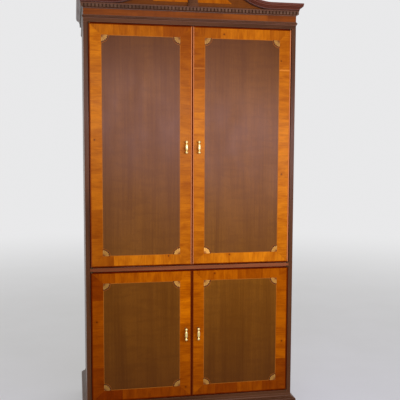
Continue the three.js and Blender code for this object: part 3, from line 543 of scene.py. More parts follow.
def timber(name, light, dark, grain, broad, fine, pore, gloss, contrast=1.0, mottle=0.0, knots=False,
           sheen=0.3, varnish=AGED, rub_and_highlight=0.4, rubbed_and_highlit_to=None, glaze_and_shade=None):
    """Polished timber. Broad swells and fine streaks, both drawn out along the grain, mix a dark and a
    light colour; mottle is a soft figure across the grain; pores are short dark dashes; a knot is a dark
    core in a halo that fades with distance; tone scales the colour, the leaf's own lightness and on
    the doors painted shade and highlight, so that a dark leaf is redder than a light one; arrises lighten
    towards a bright colour, partly polish thinned by handling and partly a painted highlight, and quirks
    darken towards a dark colour, partly glazing and partly painted shade. Sheen is how much light the
    varnish gives back, and varnish is the tint of that light."""
    finish = Finish(bpy.data.materials.new(name))
    place = finish.along(grain)
    swell = finish.noise(place, broad, 3.0, 0.55, 0.5)
    streak = finish.noise(place, fine, 3.0, 0.6, 0.2)
    fibre = finish.noise(place, FIBRES, 1.0)
    share = finish.calc("ADD", finish.calc("MULTIPLY", swell, 0.62), finish.calc("MULTIPLY", streak, 0.38))
    spread = 0.15 / contrast
    colour = finish.blend(finish.ramp(share, 0.49 - spread, 0.49 + spread), dark, light)
    if mottle:
        figure = finish.noise(place, CROSS_FIGURE, 2.0, 0.5, 0.6)
        colour = finish.blend(finish.ramp(figure, 0.42, 0.66, 0.0, mottle), colour, dark)
    colour = finish.blend(finish.ramp(fibre, 0.3, 0.7, 0.0, 0.14), colour, dark, "MULTIPLY")
    dashes = finish.ramp(finish.noise(place, PORES, 0.0), 0.64, 0.72, 0.0, pore)
    colour = finish.blend(dashes, colour, times(0.35, dark))
    if knots:
        centre = finish.node("Attribute", {}, attribute_name="knot").outputs["Vector"]
        away = finish.node("VectorMath", {0: place, 1: centre}, operation="DISTANCE").outputs["Value"]
        wobble = finish.calc("MULTIPLY", finish.noise(place, (300.0, 300.0, 300.0), 1.0), 0.0022)
        away = finish.calc("ADD", away, wobble)
        colour = finish.blend(finish.ramp(away, 4 * MM, 15 * MM, 0.7, 0.0), colour, dark)
        colour = finish.blend(finish.ramp(away, 3 * MM, 6.5 * MM, 0.9, 0.0), colour, paint(88, 30, 6))
    # The leaf's own lightness and, on the doors, painted shade and highlight scale the colour
    tone = finish.measure("tone")
    leaf = finish.node("CombineXYZ", {
        part: finish.calc("ADD", finish.calc("MULTIPLY", tone, depth), 1.0)
        for part, depth in (("X", 1.0), ("Y", 1.35), ("Z", 1.6))
    }).outputs[0]
    colour = finish.node("VectorMath", {0: colour, 1: leaf}, operation="MULTIPLY").outputs[0]
    # Arrises lighten, polish thinned by handling and a painted highlight; quirks darken, glazing and painted
    # shade
    wear = finish.measure("wear")
    worn_and_highlit = finish.blend(finish.ramp(wear, 0.2, 1.0, 0.0, rub_and_highlight), colour, rubbed_and_highlit_to or times(1.5, light))
    quirk = finish.ramp(finish.calc("MULTIPLY", wear, -1.0), 0.1, 0.9, 0.0, 0.9)
    cloud = finish.noise(place, CLOUDS, 2.0)
    height = finish.calc("SUBTRACT", fibre, finish.calc("MULTIPLY", dashes, 1.5))
    return finish.dressed({
        "Base Color": finish.blend(quirk, worn_and_highlit, glaze_and_shade or times(0.2, dark)),
        "Roughness": finish.ramp(cloud, 0.3, 0.7, gloss - 0.03, gloss + 0.05),
        "Normal": finish.bump(height, 0.12, 0.06 * MM),
        "Specular IOR Level": sheen,
        "Specular Tint": varnish,
    })


def inlaid_fan():
    """Holly petals scorched in hot sand: cream that darkens to brown with the shade measure."""
    finish = Finish(bpy.data.materials.new("fan_holly"))
    place = finish.along("veneer")
    fibre = finish.noise(place, (60.0, 900.0, 900.0), 2.0)
    cream = finish.blend(finish.ramp(fibre, 0.3, 0.7), paint(228, 158, 58), paint(248, 186, 82))
    scorch = finish.ramp(finish.measure("shade"), 0.15, 0.9, 0.0, 0.95)
    colour = finish.blend(scorch, cream, paint(170, 84, 16))
    # Scaled by the tone measure: painted shade on the fans
    bright = finish.calc("ADD", finish.measure("tone"), 1.0)
    return finish.dressed({
        "Base Color": finish.node("VectorMath", {0: colour, "Scale": bright}, operation="SCALE").outputs[0],
        "Roughness": finish.ramp(fibre, 0.3, 0.7, 0.3, 0.38),
        "Specular IOR Level": 0.3,
        "Specular Tint": AGED,
    })


def metal(name, colour, tarnish, rough, lacquer=0.0):
    """Metal with faint turning marks and cloudy tarnish that also dulls it. Lacquer is the share of
    light that an old milky coat gives back evenly; the colour darkens to brown where the shade measure says
    so."""
    finish = Finish(bpy.data.materials.new(name))
    place = finish.along("X")
    cloud = finish.noise(place, (90.0, 90.0, 90.0), 4.0, 0.6)
    marks = finish.noise(place, (60.0, 60.0, 2500.0), 1.0)
    bare = finish.blend(finish.ramp(cloud, 0.45, 0.75, 0.0, 0.6), colour, tarnish)
    return finish.dressed({
        "Base Color": finish.blend(finish.measure("shade"), bare, paint(70, 40, 12)),
        "Roughness": finish.ramp(cloud, 0.35, 0.75, rough, rough + 0.16),
        "Normal": finish.bump(marks, 0.08, 0.04 * MM),
        "Metallic": 1.0 - lacquer,
    })


MAHOGANY_LIGHT = paint(104, 60, 28)
MAHOGANY_DARK = paint(72, 36, 12)

mahogany = {
    axis: timber(
        "mahogany_" + axis.lower(), MAHOGANY_LIGHT, MAHOGANY_DARK, axis, BROAD, FINE, 0.5, 0.34,
        sheen=0.28, varnish=HAZE,
    )
    for axis in "XZ"
}
# Paler mahogany for the arrises of eased boards: polish thinned by handling and a painted highlight along
# them
rubbed_and_highlit = {
    axis: timber(
        "mahogany_rubbed_highlit_" + axis.lower(), paint(142, 88, 54), paint(106, 60, 34), axis, BROAD, FINE,
        0.3, 0.3, sheen=0.28, varnish=HAZE,
    )
    for axis in "XZ"
}
deck_edge = timber(
    "mahogany_deck", paint(168, 96, 50), paint(128, 68, 32), "X", BROAD, FINE, 0.4, 0.34, sheen=0.2
)
# The mouldings' and the crown's finishes lighten their arrises, partly polish thinned by handling and partly
# a painted highlight
moulded = timber(
    "mahogany_moulded", MAHOGANY_LIGHT, MAHOGANY_DARK, "veneer", BROAD, FINE, 0.5, 0.32,
    sheen=0.28, varnish=HAZE, rub_and_highlight=0.55, rubbed_and_highlit_to=paint(164, 118, 88),
)
crowning = timber(
    "mahogany_crown", paint(112, 54, 30), paint(80, 32, 14), "veneer", BROAD, FINE, 0.5, 0.32,
    sheen=0.18, varnish=HAZE, rub_and_highlight=0.5, rubbed_and_highlit_to=paint(164, 118, 100),
)
# Paler, greyer mahogany for the dentil blocks: a painted highlight on their lit faces, against the painted
# shade on the ground behind them
dentil = timber(
    "mahogany_dentil", paint(110, 78, 52), paint(82, 54, 34), "veneer", BROAD, FINE, 0.4, 0.32,
    sheen=0.24, varnish=HAZE,
)
panelled = timber(
    "mahogany_pediment", paint(138, 74, 20), paint(106, 52, 10), "X", BROAD, FINE, 0.4, 0.34, mottle=0.3,
    sheen=0.2, varnish=(1.0, 0.7, 0.35, 1.0),
)
# The bead's crest lightens towards a pale colour, a painted highlight, and its flanks darken towards a dark
# red, painted shade of the gaps beside it
beading = timber(
    "mahogany_bead", paint(150, 72, 18), paint(118, 48, 6), "Z", BROAD, FINE, 0.2, 0.3, sheen=0.0,
    rub_and_highlight=0.9, rubbed_and_highlit_to=paint(226, 146, 84), glaze_and_shade=paint(124, 22, 2),
)
# The doors' edges: a near black red, painted shade for the gaps round the doors
core = timber("door_core", paint(104, 16, 0), paint(76, 10, 0), "Z", BROAD, FINE, 0.5, 0.6, sheen=0.0)
frieze_veneer = timber(
    "frieze_veneer", paint(154, 77, 12), paint(122, 55, 2), "veneer",
    (3.0, 30.0, 30.0), (5.0, 150.0, 150.0), 0.3, 0.34, mottle=0.3, varnish=(1.0, 0.7, 0.4, 1.0),
)

# The lower doors have their own copies of the field and crossbanding finishes, whose varnish gives back less
# blue: painted shade on their reflection, standing in for the duller light that the lower doors mirror
field_veneer = {
    stage: timber(
        "mahogany_field_" + stage, light, dark, "Z",
        (0.9, 11.0, 11.0), (2.2, 120.0, 120.0), 0.3, 0.37, contrast=0.8, mottle=0.35, varnish=varnish,
    )
    for stage, light, dark, varnish in (
        ("upper", paint(128, 76, 12), paint(104, 57, 3), (1.0, 0.77, 0.6, 1.0)),
        ("lower", paint(129, 75, 8), paint(105, 56, 1), (1.0, 0.66, 0.36, 1.0)),
    )
}
yew = {
    stage: timber(
        "yew_crossband_" + stage, light, dark, "veneer",
        (9.0, 26.0, 26.0), (14.0, 190.0, 190.0), 0.08, 0.34, contrast=0.85, knots=True, sheen=0.22,
        varnish=varnish,
    )
    for stage, light, dark, varnish in (
        ("upper", paint(212, 120, 8), paint(172, 85, 1), (1.0, 0.7, 0.24, 1.0)),
        ("lower", paint(213, 114, 2), paint(173, 80, 0), (1.0, 0.6, 0.08, 1.0)),
    )
}

stringing = timber(
    "boxwood_string", paint(204, 122, 36), paint(184, 102, 24), "veneer",
    (6.0, 60.0, 60.0), (10.0, 300.0, 300.0), 0.0, 0.34, sheen=0.15, varnish=(1.0, 0.7, 0.3, 1.0),
)
ground = timber(
    "fan_ground", paint(96, 44, 10), paint(70, 30, 6), "veneer",
    (6.0, 60.0, 60.0), (10.0, 300.0, 300.0), 0.1, 0.36,
)
carcass = timber(
    "carcass_x", paint(150, 104, 70), paint(112, 72, 44), "X",
    (1.6, 18.0, 18.0), (3.0, 150.0, 150.0), 0.6, 0.5,
)
backing = timber(
    "back_board", paint(142, 104, 72), paint(110, 76, 50), "Z",
    (1.6, 14.0, 14.0), (3.0, 130.0, 130.0), 0.8, 0.6,
)
holly = inlaid_fan()
brass = metal("brass", paint(255, 232, 150), paint(250, 214, 122), 0.24, lacquer=0.2)
bronze = metal("bronze", paint(96, 72, 44), paint(58, 42, 26), 0.4)


# Mouldings


def base_section(reach, height):
    """Square foot, ovolo, fillet and cove, from the bottom up."""
    return np.concatenate([
        [(0, 0), (reach, 0)],
        bend((reach, 0.38 * height), (reach, 0.61 * height), (0.57 * reach, 0.61 * height)),
        bend((0.57 * reach, 0.66 * height), (0, 0.66 * height), (0, height)),
    ])


def astragal_section(reach, height):
    """A half-round bead between two fillets."""
    bead = height / 2 - ASTRAGAL_EDGE
    return np.concatenate([
        [(0, 0), (ASTRAGAL_FILLET, 0), (ASTRAGAL_FILLET, ASTRAGAL_EDGE)],
        arc((reach - bead, height / 2), bead, -math.pi / 2, math.pi / 2),
        [(ASTRAGAL_FILLET, height - ASTRAGAL_EDGE), (ASTRAGAL_FILLET, height), (0, height)],
    ])


def band_section():
    """The cove, the ground behind the dentils and the cap over them."""
    top = COVE_HEIGHT + DENTIL_HEIGHT
    return np.concatenate([
        bend((0, 0), (0, COVE_HEIGHT), (DENTIL_GROUND, COVE_HEIGHT)),
        [(DENTIL_GROUND, top), (DENTIL_CAP_REACH, top)],
        [(DENTIL_CAP_REACH, top + DENTIL_CAP_HEIGHT), (0, top + DENTIL_CAP_HEIGHT)],
    ])


def crown_section(reach, height):
    """Fillet, cove, fillet, ovolo and square top, as shares of the reach and the height."""
    shares = np.concatenate([
        [(0, 0), (0.41, 0), (0.41, 0.07)],
        bend((0.45, 0.07), (0.48, 0.33), (0.7, 0.36)),
        [(0.74, 0.36)],
        bend((0.74, 0.42), (0.99, 0.5), (0.95, 0.76)),
        [(1, 0.76), (1, 1), (0, 1)],
    ])
    return shares * (reach, height)


def wall_run(word, level):
    """The two ends of a run on a wall: where each starts, and the direction in which its section reaches
    out, which at a mitre leans to both walls alike."""
    if word == "front":
        origins = [(-HALF_WIDTH, FACE, level), (HALF_WIDTH, FACE, level)]
        return np.array(origins), np.array([(-1.0, -1.0, 0.0), (1.0, -1.0, 0.0)])
    x = SIDES[word] * HALF_WIDTH
    outs = [(SIDES[word], -1.0, 0.0), (SIDES[word], 0.0, 0.0)]
    return np.array([(x, FACE, level), (x, REAR, level)]), np.array(outs, float)


def carried(section, origins, outs, up=(0.0, 0.0, 1.0)):
    """A section carried from station to station: each of its points is the station's origin, plus its
    reach along the way out, plus its rise along the way up."""
    reach, rise = section.T[..., None]
    return origins[:, None] + outs[:, None] * reach + np.array(up) * rise


def moulding(name, node, section, word, finish=moulded, shadow_height=0.0):
    """A straight run on a wall. Painted shadow darkens it up to the shadow height."""
    outline, wear = eased(section, ARRIS)
    # Painted shadow below the shadow height
    wear = np.where(outline[:, 1] < shadow_height, PAINTED_SHADOW, wear)
    shell = Shell()
    run = carried(outline, *wall_run(word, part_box(node)[0].z))
    shell.grid(run, wrap_columns=True, ends=True, wear=wear)
    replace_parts(shell.piece(name, "case", [finish], "mahogany"), node)


def dentils(word):
    """The band with its row of blocks. They stand at an even pitch along the wall from the front corner,
    and the front run's first and last block are the corner's own, so a side's run starts at its second."""
    node = "dentil_" + word
    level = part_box(node)[0].z
    outline, wear = eased(band_section(), ARRIS)
    # Painted shade on the ground between the blocks, and a painted shadow along the foot of the cove
    ground = (outline[:, 0] < DENTIL_GROUND + 0.1 * MM) & (outline[:, 1] > COVE_HEIGHT - 0.1 * MM)
    wear = np.where(ground, PAINTED_GROUND_SHADE, np.where(outline[:, 1] < ARRIS, PAINTED_FOOT_SHADOW, wear))
    shell = Shell()
    shell.grid(carried(outline, *wall_run(word, level)), wrap_columns=True, ends=True, wear=wear)
    length = (2 * HALF_WIDTH + DENTIL_REACH if word == "front" else REAR - FACE) + DENTIL_REACH
    spaces = round((length - DENTIL_WIDTH) / DENTIL_PITCH)
    starts = np.linspace(0, length - DENTIL_WIDTH, spaces + 1)
    bottom, top = level + COVE_HEIGHT, level + COVE_HEIGHT + DENTIL_HEIGHT
    rng = np.random.default_rng(len(word))
    for index, start in enumerate(starts):
        tone = 0.12 + 0.12 * rng.standard_normal()
        y = FACE - DENTIL_REACH
        if word == "front":
            x = -HALF_WIDTH - DENTIL_REACH + start
            depth = DENTIL_WIDTH if index in (0, spaces) else DENTIL_REACH - DENTIL_GROUND
            low, high = (x, y, bottom), (x + DENTIL_WIDTH, y + depth, top)
        elif index > 0:
            near, far = sorted(SIDES[word] * (HALF_WIDTH + out) for out in (DENTIL_GROUND, DENTIL_REACH))
            low, high = (near, y + start, bottom), (far, min(y + start + DENTIL_WIDTH, REAR), top)
        else:
            continue
        shell.board(low, high, 0.4 * MM, 1, tone=tone, finish=1)
    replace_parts(shell.piece("dentil_band_" + word, "case", [moulded, dentil], "mahogany"), node)


def swan_neck(word):
    """The crown carried from its mitre up the sweep and over the crest, to end on the circle round the
    rosette. At each angle of turn the section rises along the sine and the cosine of that angle, towards
    the sweep's centre or away from the crest's. On the crest, the last angle of each point is where its
    own radius meets that circle."""
    side = SIDES[word]
    outline, wear = eased(crown_section(CROWN_REACH, CROWN_HEIGHT), ARRIS)
    reach, rise = outline.T
    # Painted shadow along the crown's foot, where it meets the board
    wear = np.where(rise < CROWN_SHADOW_HEIGHT, PAINTED_SHADOW, wear)
    turn = np.linspace(0, SWEEP_TURN, SWEEP_STEPS + 1)[:, None]
    sweep_x = SWEEP_X - (SWEEP_RADIUS - rise) * np.sin(turn)
    sweep_z = SWEEP_Z - (SWEEP_RADIUS - rise) * np.cos(turn)
    radius = CREST_RADIUS + rise
    seat = ROSETTE_RADIUS + ROSETTE_SEAT
    short = np.arccos((radius**2 + CREST_MIDDLE**2 - seat**2) / (2 * radius * CREST_MIDDLE))
    share = np.linspace(0, 1, CREST_STEPS + 1)[1:, None]
    turn = SWEEP_TURN + (short - CREST_OVERTURN - SWEEP_TURN) * share
    crest_x, crest_z = CREST_X + radius * np.sin(turn), CREST_Z + radius * np.cos(turn)
    corner_x, corner_z = HALF_WIDTH + reach, CROWN_BOTTOM + rise
    x = side * np.concatenate([corner_x[None], sweep_x, crest_x])
    z = np.concatenate([corner_z[None], sweep_z, crest_z])
    points = np.stack([x, np.broadcast_to(FACE - reach, x.shape), z], -1)
    shell = Shell()
    shell.grid(points, wrap_columns=True, ends=True, wear=wear)
    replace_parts(shell.piece("swan_neck_" + word, "case", [crowning], "mahogany"), "scroll_" + word)


def neck_line(below, start, end, steps=28):
    """The line at a distance below the crown's lower edge: an arc of the sweep from one angle of turn to
    the sweep's end, and an arc of the crest from there to another."""
    sweep, crest = np.linspace(start, SWEEP_TURN, steps + 1), np.linspace(SWEEP_TURN, end, steps + 1)[1:]
    outer, inner = SWEEP_RADIUS + below, CREST_RADIUS - below
    x = np.concatenate([SWEEP_X - outer * np.sin(sweep), CREST_X + inner * np.sin(crest)])
    z = np.concatenate([SWEEP_Z - outer * np.cos(sweep), CREST_Z + inner * np.cos(crest)])
    return np.stack([x, z], 1)


def pediment():
    """The board behind the swan necks, with an inlaid panel at each side. Its edge follows the crown's
    upper edge, rounds the back of each rosette and drops into the valley. A panel's follows the crown's
    lower edge at the border's distance."""
    nose = CROWN_HEIGHT / 2
    right = np.concatenate([
        [(HALF_WIDTH, CROWN_BOTTOM), (HALF_WIDTH, CROWN_TOP)],
        neck_line(-CROWN_HEIGHT, 0, -CREST_OVERTURN),
        arc((ROSETTE_X, ROSETTE_Z), nose, math.pi / 2 + CREST_OVERTURN, math.pi)[1:],
        [(ROSETTE_X - nose, VALLEY)],
    ])
    outline = np.concatenate([right, right[::-1] * (-1, 1)])
    shell = Shell()
    shell.plate(outline, FACE, PEDIMENT_THICK)
    board = shell.piece("pediment_panel", "case", [panelled], "mahogany", weighted=False)
    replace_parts(board, "pediment_board")
    inlay = Shell()
    rng = np.random.default_rng(5)
    foot = CROWN_BOTTOM + PANEL_FOOT
    first = math.acos((SWEEP_Z - foot) / (SWEEP_RADIUS + PANEL_BORDER))
    last = -math.acos((PANEL_TOP - CREST_Z) / (CREST_RADIUS - PANEL_BORDER))
    for side in SIDES.values():
        panel = np.concatenate([
            [(PANEL_INSIDE, foot)],
            neck_line(PANEL_BORDER, first, last),
            [(PANEL_INSIDE, PANEL_TOP)],
        ])
        shift = rng.uniform(0, 3, 2)
        inlay.plate(panel * (side, 1), FACE - VENEER, 2 * VENEER, math.pi / 2, shift, tone=-0.14)
    inlay.piece("pediment_inlay", "case", [yew["upper"]], "yew", weighted=False)


def frieze():
    """Veneer on the frieze between the astragal and the dentils: leaves laid end to end, each a shade
    of its own, whose joints show as fine lines."""
    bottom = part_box("astragal_front")[1].z + 0.2 * MM
    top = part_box("dentil_front")[0].z - 0.2 * MM
    edge = HALF_WIDTH - 0.5 * MM
    joints = [-edge, -0.262, 0.146, 0.371, edge]
    shell = Shell()
    for index, tone in enumerate((-0.05, -0.08, 0.15, -0.12)):
        leaf = rectangle((joints[index] + JOINT, bottom), (joints[index + 1] - JOINT, top))
        shell.plate(leaf, FACE - VENEER, 2 * VENEER, shift=(0.9 * index, 0.31 * index), tone=tone)
    shell.piece("frieze_veneer", "case", [frieze_veneer], "yew", weighted=False)


def rosette(word):
    """A carved flower, as a height over radius and angle: a rolled rim, which is half of an oval, a ring
    of petals that swell as a power of a sine between a dished middle and their tips, each with a fine
    vein, and a round boss. It is paler where it stands highest, partly polish thinned by handling and partly
    a painted highlight, and darker in its hollows, partly glazing and partly painted shade."""
    share = np.concatenate([np.linspace(0, 0.25, 9), np.linspace(0.27, 0.86, 26), np.linspace(0.88, 1, 9)])
    angle = np.linspace(0, 2 * math.pi, 12 * ROSETTE_PETALS, endpoint=False)
    rho, phi = np.meshgrid(share, angle)
    leaf = np.abs(np.sin(ROSETTE_PETALS * phi / 2))
    tip = 0.68 + 0.17 * leaf**0.7
    t = ((rho - 0.22) / (tip - 0.22)).clip(0, 1)
    swell = np.sin(math.pi * t**1.3) ** 0.75 * (0.35 + 0.65 * leaf**0.6)
    vein = 0.12 * np.exp(-(((leaf - 1) / 0.02) ** 2)) * np.sin(math.pi * t)
    rim = np.sqrt((1 - ((rho - 0.93) / 0.07) ** 2).clip(0, 1))
    height = 0.62 * ROSETTE_RIM + 0.38 * ROSETTE_RIM * rim + (swell - vein) * ROSETTE_RISE * 0.95
    boss = np.sqrt((BOSS_RADIUS**2 - (rho * ROSETTE_RADIUS) ** 2).clip(0))
    height = np.maximum(height, 0.75 * ROSETTE_RIM + boss)
    radius = rho * ROSETTE_RADIUS
    x = SIDES[word] * ROSETTE_X
    front = np.stack([x + radius * np.cos(phi), FACE - height, ROSETTE_Z + radius * np.sin(phi)], -1)
    skirt = front[:, -1:] * (1, 0, 1) + (0, FACE, 0)
    hub = 0 * skirt + (x, FACE, ROSETTE_Z)
    points = np.concatenate([front, skirt, hub], 1)
    wear = np.concatenate([(1.2 * swell - 0.75 + 0.9 * rim).clip(-1, 1), np.zeros((len(angle), 2))], 1)
    shell = Shell()
    shell.grid(points, wrap_rows=True, wear=wear, grain=points[..., [0, 2]])
    flower = shell.piece("rosette_carved_" + word, "case", [moulded], "mahogany", 60, weighted=False)
    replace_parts(flower, "rosette_" + word)


def framed(shell, section, low, high, level):
    """A section carried round a level rectangle, mitred at its corners."""
    origins = np.insert(rectangle(low, high), 2, level, 1)
    outline, wear = eased(section, ARRIS)
    outs = np.insert(rectangle((-1.0, -1.0), (1.0, 1.0)), 2, 0.0, 1)
    shell.grid(carried(outline, origins, outs), wrap_rows=True, wrap_columns=True, wear=wear)


def plinth():
    """The die with its moulded foot and its cap, a cove under a square slab. Both sections are given as
    shares of their lip and their height."""
    low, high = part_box("plinth")
    half, lip = PLINTH_HALF, PLINTH_LIP
    die_front, die_back = FACE - PLINTH_REACH, FACE + PEDIMENT_THICK
    shell = Shell()
    shell.board((-half, die_front, low.z), (half, FACE, high.z - lip))
    shell.board((-half, FACE - ARRIS, VALLEY), (half, die_back, high.z - lip))
    foot = np.concatenate([
        [(-1, 0), (1, 0), (1, 0.72)], bend((0.8, 0.72), (0, 0.75), (0, 1), 6), [(-1, 1)]
    ])
    foot *= (lip, PLINTH_FOOT_HEIGHT)
    framed(shell, foot, (-half, die_front), (half, FACE), low.z)
    cap = np.concatenate([
        [(-0.5, -0.25)], bend((0, -0.25), (0.2, 0.3), (0.8, 0.33), 8), [(1, 0.33), (1, 1), (-0.5, 1)]
    ])
    cap *= (PLINTH_CAP_LIP, PLINTH_CAP_HEIGHT)
    framed(shell, cap, (-half, die_front), (half, die_back), high.z - PLINTH_CAP_HEIGHT)
    shell.board((-half, die_front, high.z - 2 * lip), (half, die_back, high.z))
    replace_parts(shell.piece("plinth_dressed", "case", [mahogany["Z"]], "mahogany"), "plinth")


def turned(shell, outline, centre, axis, steps, **reading):
    """A turning: its outline's radius carried round an axis, and its rise along it."""
    radius, rise = np.array(outline, float).T
    angle = np.linspace(0, 2 * math.pi, steps, endpoint=False)[:, None]
    across, along = (axis + 1) % 3, (axis + 2) % 3
    points = np.zeros((steps, len(radius), 3))
    points[..., axis] = centre[axis] + rise
    points[..., across] = centre[across] + radius * np.cos(angle)
    points[..., along] = centre[along] + radius * np.sin(angle)
    shell.grid(points, wrap_rows=True, **reading)


def smoothed(outline, steps=6):
    """A curve through every point of an outline, whose direction at each is that from the point before
    to the one after: between two points, a cubic that starts and ends with half of those steps."""
    points = np.array(outline, float)
    before = np.concatenate([points[:1], points[:-1]])
    after = np.concatenate([points[1:], points[-1:]])
    slope = (after - before) / 2
    t = np.linspace(0, 1, steps, endpoint=False)[None, :, None]
    start, end = points[:-1, None], points[1:, None]
    go, come = slope[:-1, None], slope[1:, None]
    curve = (
        (2 * t**3 - 3 * t**2 + 1) * start + (t**3 - 2 * t**2 + t) * go
        + (3 * t**2 - 2 * t**3) * end + (t**3 - t**2) * come
    )
    return np.concatenate([curve.reshape(-1, 2), points[-1:]])


def finial():
    """An urn with a plain bowl and a pointed lid, turned on its own axis. Its outline is given as shares
    of its radius and its height."""
    low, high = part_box("finial")
    scale = ((high.x - low.x) / 2, high.z - low.z)
    centre = ((low.x + high.x) / 2, (low.y + high.y) / 2, low.z)
    foot = [(0, 0), (0.62, 0), (0.62, 0.045), (0.62, 0.05)]
    stem = [(0.56, 0.055), (0.42, 0.08), (0.26, 0.13), (0.23, 0.165), (0.3, 0.19), (0.42, 0.2)]
    bowl = [(0.5, 0.215), (0.74, 0.3), (0.93, 0.41), (1.0, 0.5), (1.0, 0.545)]
    lid = [
        (0.98, 0.56), (0.98, 0.58), (0.84, 0.6), (0.62, 0.63), (0.53, 0.67), (0.5, 0.71), (0.4, 0.78),
        (0.24, 0.855), (0.17, 0.895), (0.2, 0.925), (0.2, 0.945), (0.14, 0.975), (0.06, 0.995), (0, 1),
    ]
    shell = Shell()
    whole = np.concatenate([foot, smoothed(stem, 5), smoothed(bowl, 7), smoothed(lid, 5)]) * scale
    turned(shell, whole, centre, 2, 72)
    urn = shell.piece("finial_turned", "case", [mahogany["Z"]], "mahogany", 50, weighted=False)
    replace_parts(urn, "finial")


# Doors


# Which of a door face's finishes a veneer takes
YEW, FIELD, STRING, HOLLY, FAN_BED = range(5)


def fan(shell, pivot, toward, front, tone):
    """A quarter fan of petals about a corner, on a dark ground with a light string round it. A petal is a
    patch of a disc: its radius runs from the eye to a tip that is rounded across the petal, and its
    shade is deepest near the eye and along one edge."""
    circle = arc((0, 0), 1, 0, math.pi / 2, 24) * toward
    bed = FAN_RADIUS - FAN_STRING - JOINT
    shell.plate(np.concatenate([[pivot], pivot + bed * circle]), front + VENEER / 3, VENEER, finish=FAN_BED)
    ring = np.concatenate([(bed + JOINT) * circle, (FAN_RADIUS - JOINT) * circle[::-1]])
    shell.plate(pivot + ring, front, VENEER, finish=STRING)
    eye = np.concatenate([[pivot], pivot + (FAN_EYE - FAN_SLIT) * circle])
    shell.plate(eye, front, VENEER, finish=HOLLY, shade=0.7)
    width = math.pi / 2 / FAN_PETALS
    across, out = np.meshgrid(np.linspace(0, 1, 11), np.linspace(0, 1, 9), indexing="ij")
    tip = FAN_TIP - FAN_SCALLOP * (1 - np.sin(math.pi * across) ** 0.8)
    radius = FAN_EYE + (tip - FAN_EYE) * out
    shade = 0.4 * (1 - across) ** 2.5 + (0.85 - 1.5 * out).clip(0, 1)
    for petal in range(FAN_PETALS):
        slit = FAN_SLIT / radius
        angle = petal * width + slit + (width - 2 * slit) * across
        x = pivot[0] + toward[0] * radius * np.cos(angle)
        z = pivot[1] + toward[1] * radius * np.sin(angle)
        grain = np.stack([radius, across * 0.01 + petal * 0.1], -1)
        face = np.stack([x, np.full_like(x, front), z], -1)
        shell.grid(face, finish=HOLLY, grain=grain, shade=shade, tone=tone)
        shell.grid(face + (0, VENEER, 0), finish=HOLLY, grain=grain)
        for edge in (face[0], face[-1], face[:, 0], face[:, -1]):
            shell.grid(np.stack([edge, edge + (0, VENEER, 0)]), finish=HOLLY, shade=0.9)


def crossband(shell, low, high, front, lengths, tones, knots, rng):
    """Four runs of leaves laid side by side round a rectangle, each with its grain square to the edge,
    mitred at the corners. A run goes from one corner to the next; its leaves take their lengths in turn
    from a list of shares, and their lightness, partly their own and partly painted shade, passes from the
    one at its start over its middle's to its end's, with some chance in each."""
    outer = rectangle(low, high)
    inner = rectangle(low + BAND_WIDTHS, high - BAND_WIDTHS)
    for side in range(4):
        start, end = outer[side], outer[(side + 1) % 4]
        along = (end - start) / np.linalg.norm(end - start)
        inward = np.array([-along[1], along[0]])
        cuts = np.cumsum(lengths[side])[:-1] / np.sum(lengths[side])
        cuts = start + cuts[:, None] * (end - start)
        outer_points = np.concatenate([[start], cuts, [end]])
        inner_cuts = cuts + inward * BAND_WIDTHS
        inner_points = np.concatenate([[inner[side]], inner_cuts, [inner[(side + 1) % 4]]])
        turn = math.atan2(inward[1], inward[0])
        gap = along * JOINT / 2
        for index in range(len(lengths[side])):
            outline = [
                outer_points[index] + gap, outer_points[index + 1] - gap,
                inner_points[index + 1] - gap, inner_points[index] + gap,
            ]
            shift = rng.uniform(0, 4, 2)
            knot = NO_KNOT
            for place in knots:
                if np.all(np.min(outline, 0) < place) and np.all(np.max(outline, 0) > place):
                    knot = in_leaf(*place, turn, shift)
            share = (index + 0.5) / len(lengths[side])
            # The leaves' own lightness with painted shade, and some chance
            tone = np.interp(share, (0, 0.5, 1), tones[side]) + LEAF_CHANCE * rng.standard_normal()
            shell.plate(outline, front, VENEER, turn, shift, finish=YEW, tone=tone, knot=knot)


def sapwood(shell, left, right, front, seams):
    """Seams of pale sapwood let across the upright runs of the crossbanding, as level strips."""
    for height, *tones in seams:
        for start, tone in zip((left, right - BAND_AT_SIDES), tones):
            low = (start + JOINT, height - SEAM_WIDTH / 2)
            high = (start + BAND_AT_SIDES - JOINT, height + SEAM_WIDTH / 2)
            shell.plate(rectangle(low, high), front - VENEER / 10, VENEER, finish=STRING, tone=tone)


def field(shell, low, high, front, tones):
    """A field with hollow corners, as level rows of points from its foot to its head. A row's ends lie
    one string inside the crossbanding, or on the quarter circle round a corner where that is further in.
    Its tones, painted shade, follow one another evenly from the foot to the head."""
    reach, edge = FAN_RADIUS + JOINT, STRING_WIDTH + JOINT / 2
    tilt = math.asin(edge / reach)
    turn = np.linspace(tilt, math.pi / 2 - tilt, FIELD_CORNER_ROWS)
    rise, inset = reach * np.sin(turn), reach * np.cos(turn)
    straight = np.linspace(low[1] + rise[-1], high[1] - rise[-1], FIELD_ROWS + 2)[1:-1]
    level = np.concatenate([low[1] + rise, straight, high[1] - rise[::-1]])
    inset = np.concatenate([inset, np.full(len(straight), edge), inset[::-1]])
    x = np.stack([low[0] + inset, high[0] - inset, high[0] - inset, low[0] + inset], 1)
    y = np.broadcast_to(front + VENEER * np.array([0, 0, 1, 1]), x.shape)
    z = np.broadcast_to(level[:, None], x.shape)
    # Painted shade from the foot to the head
    tone = np.interp((z - low[1]) / (high[1] - low[1]), np.linspace(0, 1, len(tones)), tones)
    points = np.stack([x, y, z], -1)
    shell.grid(points, wrap_columns=True, ends=True, finish=FIELD, tone=tone, grain=points[..., [0, 2]])


